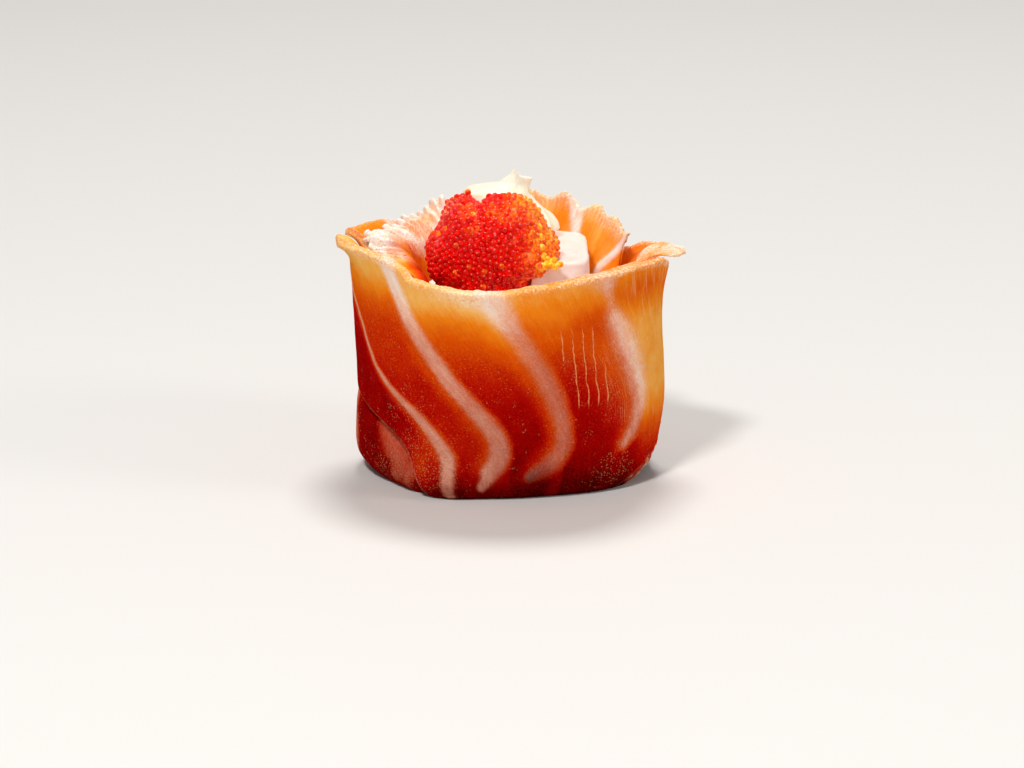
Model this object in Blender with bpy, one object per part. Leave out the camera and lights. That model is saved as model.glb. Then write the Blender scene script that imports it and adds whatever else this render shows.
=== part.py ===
"""Salmon rose sushi: three slices of raw salmon wrapped round a pale filling like the petals of a rose, with a piped dollop of cream and a heap of small fish roe on top.
Lengths below are in millimetres and angles in degrees; azimuth 0 is the front (-Y), 90 the right side (+X), 180 the back, -90 (or 270) the left side. Every point is scaled to metres on its way into a mesh."""

import math

import bmesh
import bpy
from mathutils import Vector

MM = 0.001

# ---------------------------------------------------------------- wrapped body
# Plan of the wrap at four heights: height, mean radius, shift to the right,
# shift to the back, oval (wider sideways), squareness, azimuth of a corner.
SECTIONS = (
    (0.0, 19.2, 0.0, 1.0, 1.5, 0.50, -24.0),
    (8.0, 20.8, 0.2, 0.6, 1.3, 0.40, -20.0),
    (18.0, 21.8, 0.1, 0.0, 0.3, 0.40, -12.0),
    (32.0, 22.8, 0.2, -0.35, 0.0, 0.35, -15.0),
)
FOOT_ROLL = 1.2  # how far the foot of the wrap rolls in under itself
FOOT_ROLL_HEIGHT = 3.0
# Swellings of the wall: outward by, azimuth, spread, height, spread.
SWELLINGS = (
    (0.5, -84.0, 22.0, 4.0, 4.0),  # the tucked slice below the front one, at the left
    (1.5, -32.0, 17.0, 0.0, 7.0),  # the corner of the foot
)

SLICE = 2.6  # thickness of a slice of salmon
GAP = 0.42  # film between neighbouring pieces
LAYER = SLICE + GAP
THIN_EDGE = (-4.0, 5.0)  # a slice thins from 5 mm inside its cut end outwards
THIN_TAIL = (-6.0, 20.0)  # the inner slice's front end thins over a longer way
ARC = math.radians(21.5)  # mm along the wall for one degree

# Outward curl of the two outer slices: azimuth, turn of the lip, height where it starts.
CURL = (
    (-150, 5, 29.0), (-139, 14, 29.8), (-130, 64, 30.1), (-114, 72, 30.1), (-102, 72, 30.4),
    (-82, 72, 30.8), (-72, 34, 30.2), (-60, 18, 29.5), (-45, 10, 29.0), (-20, 7, 29.0),
    (62, 7, 28.5), (78, 22, 27.4), (89, 62, 26.8), (100, 60, 26.8), (114, 30, 27.5),
    (126, 14, 27.5), (140, 5, 28.0), (210, 5, 29.0),
)
CURL_LENGTH = 4.2

# Rim of each slice: azimuth, length of the slice measured up from the board.
FRONT_RIM = (
    (-110, 34.0), (-100, 34.8), (-86, 34.9), (-74, 34.8), (-62, 35.0), (-50, 34.8), (-42, 34.2),
    (-37, 32.6), (-27, 32.3), (-13, 31.9), (-3, 32.0), (10, 32.8), (33, 33.8), (52, 34.1),
    (68, 33.6), (80, 32.8), (88, 33.2), (93, 34.4), (98, 32.4),
)
BACK_RIM = (
    (68, 31.0), (86, 31.6), (96, 32.4), (108, 32.0), (116, 31.0), (126, 29.8), (136, 29.0),
    (150, 30.4), (168, 32.4), (188, 33.8), (204, 33.6), (218, 32.6), (225, 33.2), (234, 34.6),
    (248, 34.9), (257, 34.0), (264, 31.6), (275, 30.8), (300, 30.6), (330, 29.6),
)
INNER_RIM = (
    (98, 34.0), (106, 33.8), (114, 33.4), (121, 34.4), (129, 35.1), (138, 36.0), (146, 35.9),
    (149, 36.8), (156, 37.2), (170, 37.3), (190, 37.5), (203, 37.3), (214, 36.7), (228, 35.6),
    (240, 34.9), (256, 35.0), (268, 36.2), (285, 36.2), (296, 35.6), (303, 33.9), (312, 33.0), (326, 31.7),
    (334, 30.4),
)
# Outward curl of the inner slice: azimuth, turn, height where it starts, extra inset from its neighbour.
INNER_CURL = (
    (98, 22, 30.0, 0.9), (112, 18, 30.5, 0.8), (130, 13, 31.0, 0.7), (148, 12, 31.5, 0.8),
    (165, 6, 32.0, 0.8), (190, 6, 32.0, 0.8), (206, 24, 31.4, 1.2), (220, 56, 30.4, 1.9),
    (238, 74, 29.8, 2.4), (254, 78, 29.8, 2.4), (269, 82, 30.4, 0.7), (286, 78, 30.5, 0.15),
    (297, 50, 30.5, 0.1), (304, 14, 30.5, 0.1), (320, 4, 30.5, 0.1), (334, 3, 30.0, 0.1),
)
INNER_CURL_LENGTH = 4.6
FRILL = 0.35  # height of the slow waves along the inner slice's rim
FRILL_PITCH = 15.0

# ---------------------------------------------------------------- filling
FILLING_TOP = 33.0
HOLLOW_FLOOR = 27.4
FILLING_SHOULDER = 27.0  # above this the filling stands clear of the salmon as a block
BLOCK_RIGHT, BLOCK_LEFT, BLOCK_BACK, BLOCK_FRONT = 11.7, -10.2, 12.6, -10.5
BLOCK_SQUARE = 6.0  # superellipse power of the block's plan

# ---------------------------------------------------------------- roe
ROE_CENTRE = (-2.1, -6.0, 33.2)
ROE_RADIUS = 9.2
ROE_BACK = 6.6  # the heap is flatter against the cream
ROE_LUMPS = 0.55
ROE_FLOOR = HOLLOW_FLOOR + GAP
HOLLOW_RADIUS = ROE_RADIUS + 1.7

# ---------------------------------------------------------------- cream
CREAM_AXIS = (0.7, 6.9)
CREAM_FRONT = 0.84  # flatter against the roe
CREAM_RIDGES = 8
CREAM_TWIST = 34.0
CREAM_DEPTH = 0.16
# Profile of the dollop: height, radius.
CREAM_PROFILE = (
    (33.45, 0.0), (33.45, 5.4), (34.2, 6.7), (35.6, 7.1), (37.0, 6.9), (38.4, 6.4),
    (39.5, 5.5), (40.2, 4.3), (40.8, 3.0), (41.4, 1.9), (42.5, 0.8), (43.7, 0.0),
)
CREAM_HORN = (1.5, 0.8, 96.0)  # a second, lower point where the rope tore: out, up, azimuth
CREAM_LEAN = 1.3  # the left shoulder stands higher than the right one

COLOURS = {
    "salmon_front": ((0.76, 0.13, 0.03), 0.32),
    "salmon_back": ((0.70, 0.14, 0.05), 0.34),
    "salmon_inner": ((0.86, 0.36, 0.16), 0.34),
    "filling": ((0.88, 0.76, 0.68), 0.42),
    "cream": ((0.92, 0.86, 0.68), 0.38),
    "roe": ((0.80, 0.05, 0.01), 0.2),
}


# ---------------------------------------------------------------- small maths
def smooth(x, lo, hi):
    t = min(max((x - lo) / (hi - lo), 0.0), 1.0)
    return t * t * (3.0 - 2.0 * t)


def wrap(a, lo=-180.0):
    """Azimuth brought into the 360 degrees that start at lo."""
    return (a - lo) % 360.0 + lo


def along(a, table, column=1):
    """Smoothly interpolated column of a table whose first column is an azimuth."""
    if a <= table[0][0]:
        return float(table[0][column])
    for p, q in zip(table, table[1:]):
        if a <= q[0]:
            return p[column] + (q[column] - p[column]) * smooth(a, p[0], q[0])
    return float(table[-1][column])


def section(z):
    """Plan parameters at height z: the cubic through the four sections."""
    out = []
    for k in range(1, 7):
        total = 0.0
        for i, p in enumerate(SECTIONS):
            w = 1.0
            for j, q in enumerate(SECTIONS):
                if i != j:
                    w *= (z - q[0]) / (p[0] - q[0])
            total += w * p[k]
        out.append(total)
    return out


def body_radius(a, z):
    """Radius of the outermost face of the wrap."""
    radius, right, back, oval, square, corner = section(min(z, 36.0))
    t = math.radians(a)
    r = radius + right * math.sin(t) - back * math.cos(t) - oval * math.cos(2 * t)
    r += square * math.cos(4 * math.radians(a - corner))
    r -= FOOT_ROLL * max(0.0, 1.0 - z / FOOT_ROLL_HEIGHT) ** 2
    for out, azimuth, spread, height, tall in SWELLINGS:
        r += out * math.exp(-((wrap(a - azimuth) / spread) ** 2) - ((z - height) / tall) ** 2)
    r += 0.16 * math.sin(3 * t + z / 5.0) + 0.10 * math.sin(7 * t - z / 3.4 + 1.0)
    return r


# ---------------------------------------------------------------- how the slices lie
def front_left(s):
    """Azimuth of the front slice's left end: a rounded corner cut back near the board."""
    return -38.0 - min(s, 13.0) - 50.0 * smooth(s, 4.0, 16.0) ** 2


CORNER = 12.6  # height at which the end of the front slice turns into its lifted lower edge


def front_end(s):
    return front_left(max(s, CORNER))


def front_foot(a):
    """Height of the front slice's lower edge: on the board, and lifted along the cut-back corner."""
    lo, hi = 0.0, CORNER
    for _ in range(20):
        mid = 0.5 * (lo + hi)
        if front_left(mid) > a:
            lo = mid
        else:
            hi = mid
    return lo if a < front_left(0.0) else 0.0


def on_board(a):
    return 0.0


def front_right(s):
    return 66.0 + 30.0 * smooth(s, 0.0, 9.0) + 1.1 * math.sin(s / 2.6) + 0.6 * math.sin(s / 1.3)


def back_right(s):
    return 70.0


def back_left(s):
    return 327.0


def inner_right(s):
    return 124.0 - 24.0 * smooth(s, 25.0, 33.5)


def inner_left(s):
    return 331.0


def beyond(a, s, end):
    """Shortest way along the wall, in mm, from a point to a slice's end; positive where a is the greater."""
    near = abs(a - end(s)) * ARC
    for k in range(-20, 21):
        h = s + 0.4 * k
        if h >= 0.0:
            near = min(near, math.hypot((a - end(h)) * ARC, s - h))
    return math.copysign(near, a - end(s))


def cover(a, s, start, end, middle, tail=THIN_EDGE):
    """0 beyond a slice's ends, 1 well inside them; start < end, both unwrapped about middle."""
    a = wrap(a, middle - 180.0)
    return smooth(beyond(a, s, start), *THIN_EDGE) * smooth(-beyond(a, s, end), *tail)


def depth_front(a, s):
    return LAYER * cover(a, s, front_left, front_right, 0.0)


def depth_back(a, s):
    return LAYER * cover(a, s, back_right, back_left, 198.0)


def depth_inner(a, s):
    return LAYER * cover(a, s, inner_right, inner_left, 228.0, THIN_TAIL)


def curled(a, s, depth, radius_at, turn, start, length):
    """Point (radius, height) at path length s up the wall and depth in from its outer face; above start the wall curls outwards."""
    r = radius_at(a, min(s, start))
    z = min(s, start)
    beta = 0.0
    if s > start:
        lean = math.atan2(radius_at(a, start) - radius_at(a, start - 1.0), 1.0)
        steps = 12
        ds = (s - start) / steps
        for i in range(steps):
            beta = math.radians(turn) * smooth((i + 0.5) * ds, 0.0, length)
            r += math.sin(lean + beta) * ds
            z += math.cos(lean + beta) * ds
        beta = math.radians(turn) * smooth(s - start, 0.0, length)
    return r - depth * math.cos(beta), z + depth * math.sin(beta)


def outer_wall(a, s, depth):
    """Point in the two nested outer slices."""
    u = wrap(a, -150.0)
    return curled(a, s, depth, body_radius, along(u, CURL), along(u, CURL, 2), CURL_LENGTH)


def inner_wall(a, s, depth):
    u = wrap(a, 90.0)

    def radius_at(az, z):
        return body_radius(az, z) - depth_front(az, z) - depth_back(az, z) - along(u, INNER_CURL, 3)

    r, z = curled(a, s, depth, radius_at, along(u, INNER_CURL), along(u, INNER_CURL, 2), INNER_CURL_LENGTH)
    z += FRILL * smooth(s, 29.0, 36.0) * math.sin(2 * math.pi * u / FRILL_PITCH)
    return r, z


def at(a, r, z):
    t = math.radians(a)
    return Vector((r * math.sin(t), -r * math.cos(t), z))


# ---------------------------------------------------------------- meshes
def finish(bm, name):
    for v in bm.verts:
        v.co *= MM
    bmesh.ops.recalc_face_normals(bm, faces=bm.faces)
    if bm.calc_volume(signed=True) < 0:
        bmesh.ops.reverse_faces(bm, faces=bm.faces)
    mesh = bpy.data.meshes.new(name)
    bm.to_mesh(mesh)
    bm.free()
    ob = bpy.data.objects.new(name, mesh)
    colour, rough = COLOURS[name]
    mat = bpy.data.materials.new(name)
    mat.use_nodes = True
    bsdf = mat.node_tree.nodes["Principled BSDF"]
    bsdf.inputs["Base Color"].default_value = (*colour, 1.0)
    bsdf.inputs["Roughness"].default_value = rough
    bsdf.inputs["Metallic"].default_value = 0.0
    mesh.materials.append(mat)
    bpy.data.collections["salmon_rose_sushi"].objects.link(ob)
    return ob


def bent_slice(name, columns, rows, crowd, left, right, foot, rim, wall, outer, thick):
    """A slice of salmon: a slab, cut into columns and rows, bent round the filling. crowd says how much closer the rows lie at the foot and the rim; left and right are the slice's ends by height, foot the height of its lower edge, rim its length, outer how deep its outer face lies and thick its thickness."""
    layers = 3
    bm = bmesh.new()
    bmesh.ops.create_cube(bm, size=1.0)
    for axis, cuts in ((0, columns - 1), (1, rows - 1), (2, layers - 1)):
        edges = [e for e in bm.edges if abs((e.verts[0].co - e.verts[1].co)[axis]) > 1e-6]
        bmesh.ops.subdivide_edges(bm, edges=edges, cuts=cuts, use_grid_fill=True)
    for vert in bm.verts:
        u, v, w = (c + 0.5 for c in vert.co)
        f = v - crowd * math.sin(2 * math.pi * v) / (2 * math.pi)
        # columns stand upright except close to an end that is cut back
        lo, hi = left(30.0), right(30.0)
        a = lo + (hi - lo) * u
        for _ in range(4):
            low = foot(a)
            s = low + f * (along(a, rim) - 0.5 * SLICE * v - low)
            a = lo + (hi - lo) * u + (left(s) - lo) * (1 - u) ** 3 + (right(s) - hi) * u**4
        t = thick(a, s)
        swell = 0.5 * t * math.sqrt(max(0.0, 1.0 - (2 * w - 1) ** 2))
        if v > 1.0 - 1e-6:
            s += swell
        if u < 1e-6:
            a -= swell / ARC
        elif u > 1.0 - 1e-6:
            a += swell / ARC
        vert.co = at(a, *wall(a, s, outer(a, s) + t * w))
    return finish(bm, name)


def lump(name, columns, rows, fn):
    """A closed body from a sphere: fn(azimuth, t) gives its point, t running from the bottom pole (0) to the top one (1)."""
    bm = bmesh.new()
    bmesh.ops.create_uvsphere(bm, u_segments=columns, v_segments=rows, radius=1.0)
    for vert in bm.verts:
        t = math.acos(min(max(-vert.co.z, -1.0), 1.0)) / math.pi
        a = math.degrees(math.atan2(vert.co.x, -vert.co.y))
        vert.co = fn(a, t)
    return finish(bm, name)


def block_radius(a):
    """Plan of the block that stands clear of the salmon at the top of the filling."""
    t = math.radians(a)
    x, y = math.sin(t), -math.cos(t)
    sx = BLOCK_RIGHT if x > 0 else -BLOCK_LEFT
    sy = BLOCK_BACK if y > 0 else -BLOCK_FRONT
    return (abs(x / sx) ** BLOCK_SQUARE + abs(y / sy) ** BLOCK_SQUARE) ** (-1.0 / BLOCK_SQUARE)


def filling_radius(a, z):
    """The filling reaches the salmon but doesn't press into its folds."""
    rooms = []
    for b in (a - 9.0, a - 4.5, a, a + 4.5, a + 9.0):
        room = body_radius(b, z) - depth_front(b, z) - depth_back(b, z) - depth_inner(b, z)
        rooms.append(room - along(wrap(b, 90.0), INNER_CURL, 3))
    return min(rooms)


def filling_top(x, y):
    """Flat top with a round hollow for the roe, open to the front."""
    dx, dy = x - ROE_CENTRE[0], y - ROE_CENTRE[1]
    if dy > 0:
        dy *= ROE_RADIUS / ROE_BACK
    bowl = ROE_CENTRE[2] - math.sqrt(max(0.0, HOLLOW_RADIUS**2 - dx * dx - dy * dy))
    bowl = min(max(bowl, HOLLOW_FLOOR), FILLING_TOP)
    return HOLLOW_FLOOR + (bowl - HOLLOW_FLOOR) * smooth(y + 0.45 * x, -13.5, -7.5)


FILLING_ROWS = 18


def block_edge(a):
    """Way from the middle of the hollow to the side of the block, along azimuth a."""
    t = math.radians(a)
    lo, hi = 0.0, 40.0
    for _ in range(30):
        mid = 0.5 * (lo + hi)
        x = ROE_CENTRE[0] + mid * math.sin(t)
        y = ROE_CENTRE[1] - mid * math.cos(t)
        if math.hypot(x, y) < block_radius(math.degrees(math.atan2(x, -y))):
            lo = mid
        else:
            hi = mid
    return lo


def filling_point(a, t):
    """Rows run from the middle of the foot out, up the side, in over the shoulder, up the block, in over its top and down into the hollow, whose rows are round its own middle."""
    k = round(t * FILLING_ROWS)
    if k <= 1:
        return at(a, filling_radius(a, 0.0) * 0.55 * k, 0.0)
    if k <= 7:
        z = (0.0, 3.0, 8.0, 14.0, 20.0, FILLING_SHOULDER - 1.2)[k - 2]
        return at(a, filling_radius(a, z), z)
    if k == 8:
        return at(a, filling_radius(a, FILLING_SHOULDER) - 0.7, FILLING_SHOULDER)
    edge = block_edge(a)
    front = math.cos(math.radians(a))
    lip = HOLLOW_RADIUS / math.hypot(math.sin(math.radians(a)), front if front > 0 else front * ROE_RADIUS / ROE_BACK)
    lip = min(lip, edge * 0.9)
    way = (edge, edge, edge - 0.1, edge - 0.4, 0.5 * (edge - 0.4 + lip), lip, lip * 0.93, lip * 0.75, lip * 0.45, 0.0)[k - 9]
    t = math.radians(a)
    x = ROE_CENTRE[0] + way * math.sin(t)
    y = ROE_CENTRE[1] - way * math.cos(t)
    top = filling_top(x, y)
    if k == 9:
        top = FILLING_SHOULDER + 0.1
    elif k == 10:
        top = FILLING_SHOULDER + 0.1 + 0.55 * (top - FILLING_SHOULDER)
    elif k == 11:
        top -= 0.3
    return Vector((x, y, top))


def roe_point(a, t):
    el = (t - 0.5) * math.pi
    ta = math.radians(a)
    d = Vector((math.sin(ta) * math.cos(el), -math.cos(ta) * math.cos(el), math.sin(el)))
    r = ROE_RADIUS + ROE_LUMPS * (
        0.6 * math.sin(5.1 * d.x + 2.2 * d.z + 0.4) * math.sin(4.3 * d.z + 1.1)
        + 0.5 * math.sin(9.0 * d.x - 7.0 * d.y) * math.sin(8.0 * d.z + 0.5)
        + 0.4 * math.sin(13.0 * d.z + 11.0 * d.x + 1.7)
    )
    p = Vector((d.x * r, d.y * r * (ROE_BACK / ROE_RADIUS if d.y > 0 else 1.0), d.z * r))
    p += Vector(ROE_CENTRE)
    p.z = max(p.z, ROE_FLOOR)
    return p


def cream_point(a, t):
    n = len(CREAM_PROFILE) - 1
    k = min(round(t * n), n)
    z, r = CREAM_PROFILE[k]
    up = (z - CREAM_PROFILE[0][0]) / (CREAM_PROFILE[-1][0] - CREAM_PROFILE[0][0])
    phase = CREAM_RIDGES * math.radians(a - CREAM_TWIST * up)
    r *= 1.0 + CREAM_DEPTH * smooth(up, 0.0, 0.15) * math.cos(phase)
    out, rise, azimuth = CREAM_HORN
    horn = math.exp(-((wrap(a - azimuth) / 24.0) ** 2)) * smooth(z, 40.5, 41.3) * (1 - smooth(z, 41.6, 42.4))
    r += out * horn
    z += rise * horn
    ta = math.radians(a)
    x, y = r * math.sin(ta), -r * math.cos(ta)
    if y < 0:
        y *= CREAM_FRONT
    z -= CREAM_LEAN * smooth(up, 0.05, 0.5) * (1.0 - smooth(up, 0.6, 0.95)) * x / 6.0
    return Vector((CREAM_AXIS[0] + x, CREAM_AXIS[1] + y, z))


def main():
    for ob in list(bpy.data.objects):
        bpy.data.objects.remove(ob, do_unlink=True)
    group = bpy.data.collections.new("salmon_rose_sushi")
    bpy.context.scene.collection.children.link(group)

    bent_slice(
        "salmon_front", 46, 12, 0.35, front_end, front_right, front_foot, FRONT_RIM, outer_wall,
        lambda a, s: 0.0,
        lambda a, s: depth_front(a, s) - GAP,
    )
    bent_slice(
        "salmon_back", 44, 10, 0.35, back_right, back_left, on_board, BACK_RIM, outer_wall,
        depth_front,
        lambda a, s: depth_back(a, s) - GAP,
    )
    bent_slice(
        "salmon_inner", 48, 10, 0.55, inner_right, inner_left, on_board, INNER_RIM, inner_wall,
        lambda a, s: 0.0,
        lambda a, s: depth_inner(a, s) - GAP,
    )
    lump("filling", 24, FILLING_ROWS, filling_point)
    lump("roe", 26, 15, roe_point)
    lump("cream", 3 * CREAM_RIDGES, len(CREAM_PROFILE) - 1, cream_point)


main()
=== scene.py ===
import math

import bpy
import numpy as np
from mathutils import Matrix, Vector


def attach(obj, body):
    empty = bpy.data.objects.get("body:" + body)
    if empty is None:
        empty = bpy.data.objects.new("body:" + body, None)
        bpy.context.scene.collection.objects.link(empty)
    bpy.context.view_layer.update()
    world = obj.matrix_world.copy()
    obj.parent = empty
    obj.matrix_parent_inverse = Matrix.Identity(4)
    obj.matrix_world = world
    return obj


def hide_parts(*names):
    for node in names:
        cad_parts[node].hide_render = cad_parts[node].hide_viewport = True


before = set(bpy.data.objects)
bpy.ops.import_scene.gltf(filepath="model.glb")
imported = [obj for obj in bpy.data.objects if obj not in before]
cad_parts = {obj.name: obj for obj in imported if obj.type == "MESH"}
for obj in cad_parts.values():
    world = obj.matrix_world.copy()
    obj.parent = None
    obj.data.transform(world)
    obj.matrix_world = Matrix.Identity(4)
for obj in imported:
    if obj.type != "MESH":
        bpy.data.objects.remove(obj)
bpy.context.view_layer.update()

# Salmon rose sushi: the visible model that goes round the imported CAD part.
# Lengths are in millimetres and angles in degrees until build() scales them to metres. Azimuth 0 is the
# front (-Y), 90 the right side (+X), 180 the back, -90 (or 270) the left side.
# The wrap's shape functions follow those of the CAD source, here for whole arrays of points at once and with the
# rims and curls drawn a little more finely; on top of them come the fine forms: flesh fibres, fat lines, frayed rims, flutes, teeth and the loose eggs.

MM = 0.001

# ================================================================= shape of the wrap
SECTIONS = (
    (0.0, 19.2, 0.0, 1.0, 1.5, 0.50, -24.0),
    (8.0, 20.8, 0.2, 0.6, 1.3, 0.40, -20.0),
    (18.0, 21.8, 0.1, 0.0, 0.3, 0.40, -12.0),
    (32.0, 22.8, 0.2, -0.35, 0.0, 0.35, -15.0),
)
FOOT_ROLL = 1.2
FOOT_ROLL_HEIGHT = 3.0
SWELLINGS = ((0.5, -84.0, 22.0, 4.0, 4.0), (1.5, -32.0, 17.0, 0.0, 7.0))
SLICE = 2.6
GAP = 0.42
LAYER = SLICE + GAP
THIN_EDGE = (-4.0, 5.0)
THIN_TAIL = (-6.0, 20.0)
ARC = math.radians(21.5)
FRONT_CURL = (
    (-150, 5, 29.0), (-139, 14, 29.8), (-130, 64, 30.4), (-114, 84, 30.8), (-102, 94, 31.0),
    (-88, 90, 31.0), (-78, 40, 30.4), (-70, 22, 30.0), (-60, 14, 29.5), (-45, 10, 29.0), (-20, 7, 29.0),
    (62, 7, 28.5), (78, 9, 26.0), (89, 12, 24.0), (100, 12, 24.0), (114, 8, 27.5),
    (126, 5, 27.5), (140, 5, 28.0), (210, 5, 29.0),
)
BACK_CURL = (
    (60, 78, 30.2), (76, 84, 30.3), (88, 92, 30.3), (98, 88, 29.5), (106, 72, 28.5), (114, 46, 27.6),
    (124, 22, 26.8), (134, 10, 26.8), (150, 6, 28.0), (205, 6, 29.0), (221, 14, 29.8), (230, 64, 30.1),
    (246, 72, 30.1), (258, 72, 30.4), (278, 60, 30.8), (288, 34, 30.2), (300, 18, 29.5), (330, 8, 29.0),
)
CURL_LENGTH = 4.2
FRONT_RIM = (
    (-110, 33.9), (-102, 34.6), (-92, 34.8), (-82, 34.9), (-72, 35.1), (-62, 35.2), (-50, 34.8), (-42, 34.2),
    (-37, 32.6), (-27, 32.3), (-13, 31.9), (-3, 32.0), (10, 32.8), (33, 33.8), (52, 34.1),
    (68, 33.6), (76, 32.6), (84, 31.4), (92, 30.9), (98, 30.6),
)
BACK_RIM = (
    (68, 34.4), (78, 35.2), (86, 36.4), (91, 36.4), (98, 35.2), (106, 33.4), (114, 32.0), (124, 30.5), (134, 29.5),
    (150, 30.4), (168, 32.4), (188, 33.8), (204, 33.6), (218, 32.6), (225, 33.2), (234, 34.6),
    (248, 34.9), (257, 34.0), (264, 31.6), (275, 30.8), (290, 30.6), (300, 30.8), (314, 30.9), (330, 30.2),
)
INNER_RIM = (
    (98, 34.0), (106, 33.8), (114, 33.4), (121, 34.4), (129, 35.1), (138, 36.0), (146, 35.9),
    (149, 36.8), (156, 37.2), (170, 37.3), (190, 37.5), (203, 37.3), (214, 36.7), (228, 35.6),
    (240, 34.9), (256, 35.0), (268, 36.3), (278, 37.0), (288, 37.7), (297, 37.2), (305, 36.0), (312, 35.0), (318, 34.1), (325, 33.2),
    (334, 32.0),
)
INNER_CURL = (
    (98, 22, 30.0, 0.9), (112, 18, 30.5, 0.8), (130, 13, 31.0, 0.7), (148, 12, 31.5, 0.8),
    (165, 6, 32.0, 0.8), (190, 6, 32.0, 0.8), (206, 24, 31.4, 1.2), (220, 56, 30.4, 1.9),
    (238, 74, 29.8, 2.4), (254, 78, 29.8, 2.4), (269, 78, 30.6, 0.7), (286, 64, 30.9, 0.15),
    (297, 66, 30.2, 0.1), (305, 74, 29.6, 0.1), (312, 80, 29.3, 0.1), (318, 80, 28.8, 0.1), (325, 76, 28.1, 0.1), (334, 70, 27.6, 0.1),
)
INNER_CURL_LENGTH = 4.6
FRILL = 0.35
FRILL_PITCH = 15.0
FILLING_TOP = 33.0
HOLLOW_FLOOR = 27.4
FILLING_SHOULDER = 27.0
BLOCK_RIGHT, BLOCK_LEFT, BLOCK_BACK, BLOCK_FRONT = 11.7, -10.2, 12.6, -10.5
BLOCK_SQUARE = 6.0
ROE_CENTRE = (-2.1, -6.0, 33.2)
ROE_RADIUS = 9.2
ROE_BACK = 6.6
ROE_FLOOR = HOLLOW_FLOOR + GAP
HOLLOW_RADIUS = ROE_RADIUS + 1.7
HOLLOW_RIGHT = 6.2
CREAM_AXIS = (0.7, 6.9)
CREAM_FRONT = 0.84
CREAM_RIDGES = 8
CREAM_TWIST = 34.0
CORNER = 12.6


# ================================================================= maths on arrays
def smooth(x, lo, hi):
    t = np.clip((np.asarray(x, float) - lo) / (hi - lo), 0.0, 1.0)
    return t * t * (3.0 - 2.0 * t)


def bell(x, centre, spread):
    return np.exp(-(((x - centre) / spread) ** 2))


def wrap(a, lo=-180.0):
    return (a - lo) % 360.0 + lo


def along(a, table, column=1):
    t = np.array(table, float)
    k = np.clip(np.searchsorted(t[:, 0], a, side="right") - 1, 0, len(t) - 2)
    w = np.clip((a - t[k, 0]) / (t[k + 1, 0] - t[k, 0]), 0.0, 1.0)
    return t[k, column] + (t[k + 1, column] - t[k, column]) * w * w * (3.0 - 2.0 * w)


def chance(ix, iy, iz, seed):
    """Repeatable numbers from 0 to 1, one for each whole-number lattice point."""
    with np.errstate(over="ignore"):
        h = (
            ix.astype(np.int64) * 374761393
            + iy.astype(np.int64) * 668265263
            + iz.astype(np.int64) * 1440662683
            + seed * 974634777
        ).astype(np.uint32)
        h = (h ^ (h >> np.uint32(15))) * np.uint32(2246822519)
        h = (h ^ (h >> np.uint32(13))) * np.uint32(3266489917)
        h = h ^ (h >> np.uint32(16))
    return h.astype(float) / 4294967295.0


def noise(x, y, z=0.0, seed=0):
    """Smooth noise from -1 to 1."""
    x, y, z = np.broadcast_arrays(np.asarray(x, float), np.asarray(y, float), np.asarray(z, float))
    fx, fy, fz = np.floor(x), np.floor(y), np.floor(z)
    tx, ty, tz = x - fx, y - fy, z - fz
    wx, wy, wz = (t * t * t * (t * (t * 6 - 15) + 10) for t in (tx, ty, tz))
    out = 0.0
    for i in (0, 1):
        for j in (0, 1):
            for k in (0, 1):
                w = (wx if i else 1 - wx) * (wy if j else 1 - wy) * (wz if k else 1 - wz)
                out = out + w * chance(fx + i, fy + j, fz + k, seed)
    return 2.0 * out - 1.0


def layered(x, y, z=0.0, seed=0, octaves=3, gain=0.5):
    total, size, height = 0.0, 0.0, 1.0
    for k in range(octaves):
        total = total + height * noise(np.asarray(x) * 2**k, np.asarray(y) * 2**k, np.asarray(z) * 2**k, seed + 17 * k)
        size += height
        height *= gain
    return total / size


# ================================================================= the wrap's functions, on arrays
def section(z):
    out = []
    for k in range(1, 7):
        total = 0.0
        for i, p in enumerate(SECTIONS):
            w = 1.0
            for j, q in enumerate(SECTIONS):
                if i != j:
                    w = w * (z - q[0]) / (p[0] - q[0])
            total = total + w * p[k]
        out.append(total)
    return out


def body_radius(a, z):
    radius, right, back, oval, square, corner = section(np.minimum(z, 36.0))
    t = np.radians(a)
    r = radius + right * np.sin(t) - back * np.cos(t) - oval * np.cos(2 * t)
    r = r + square * np.cos(4 * np.radians(a - corner))
    r = r - FOOT_ROLL * np.maximum(0.0, 1.0 - z / FOOT_ROLL_HEIGHT) ** 2
    for out, azimuth, spread, height, tall in SWELLINGS:
        r = r + out * np.exp(-((wrap(a - azimuth) / spread) ** 2) - ((z - height) / tall) ** 2)
    return r + 0.16 * np.sin(3 * t + z / 5.0) + 0.10 * np.sin(7 * t - z / 3.4 + 1.0)


def front_left(s):
    return -38.0 - np.minimum(s, 13.0) - 50.0 * smooth(s, 4.0, 16.0) ** 2


def front_end(s):
    return front_left(np.maximum(s, CORNER))


def front_foot(a):
    lo, hi = np.zeros_like(a), np.full_like(a, CORNER)
    for _ in range(20):
        mid = 0.5 * (lo + hi)
        higher = front_left(mid) > a
        lo, hi = np.where(higher, mid, lo), np.where(higher, hi, mid)
    return np.where(a < front_left(np.zeros(1))[0], lo, 0.0)


def on_board(a):
    return np.zeros_like(a)


def front_right(s):
    return 66.0 + 30.0 * smooth(s, 0.0, 9.0) + 1.1 * np.sin(s / 2.6) + 0.6 * np.sin(s / 1.3)


def back_right(s):
    return 70.0 + 10.0 * smooth(s, 26.0, 31.0)


def back_left(s):
    return np.full_like(s, 327.0)


def inner_right(s):
    return 124.0 - 24.0 * smooth(s, 25.0, 33.5)


def inner_left(s):
    return np.full_like(s, 331.0)


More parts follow.
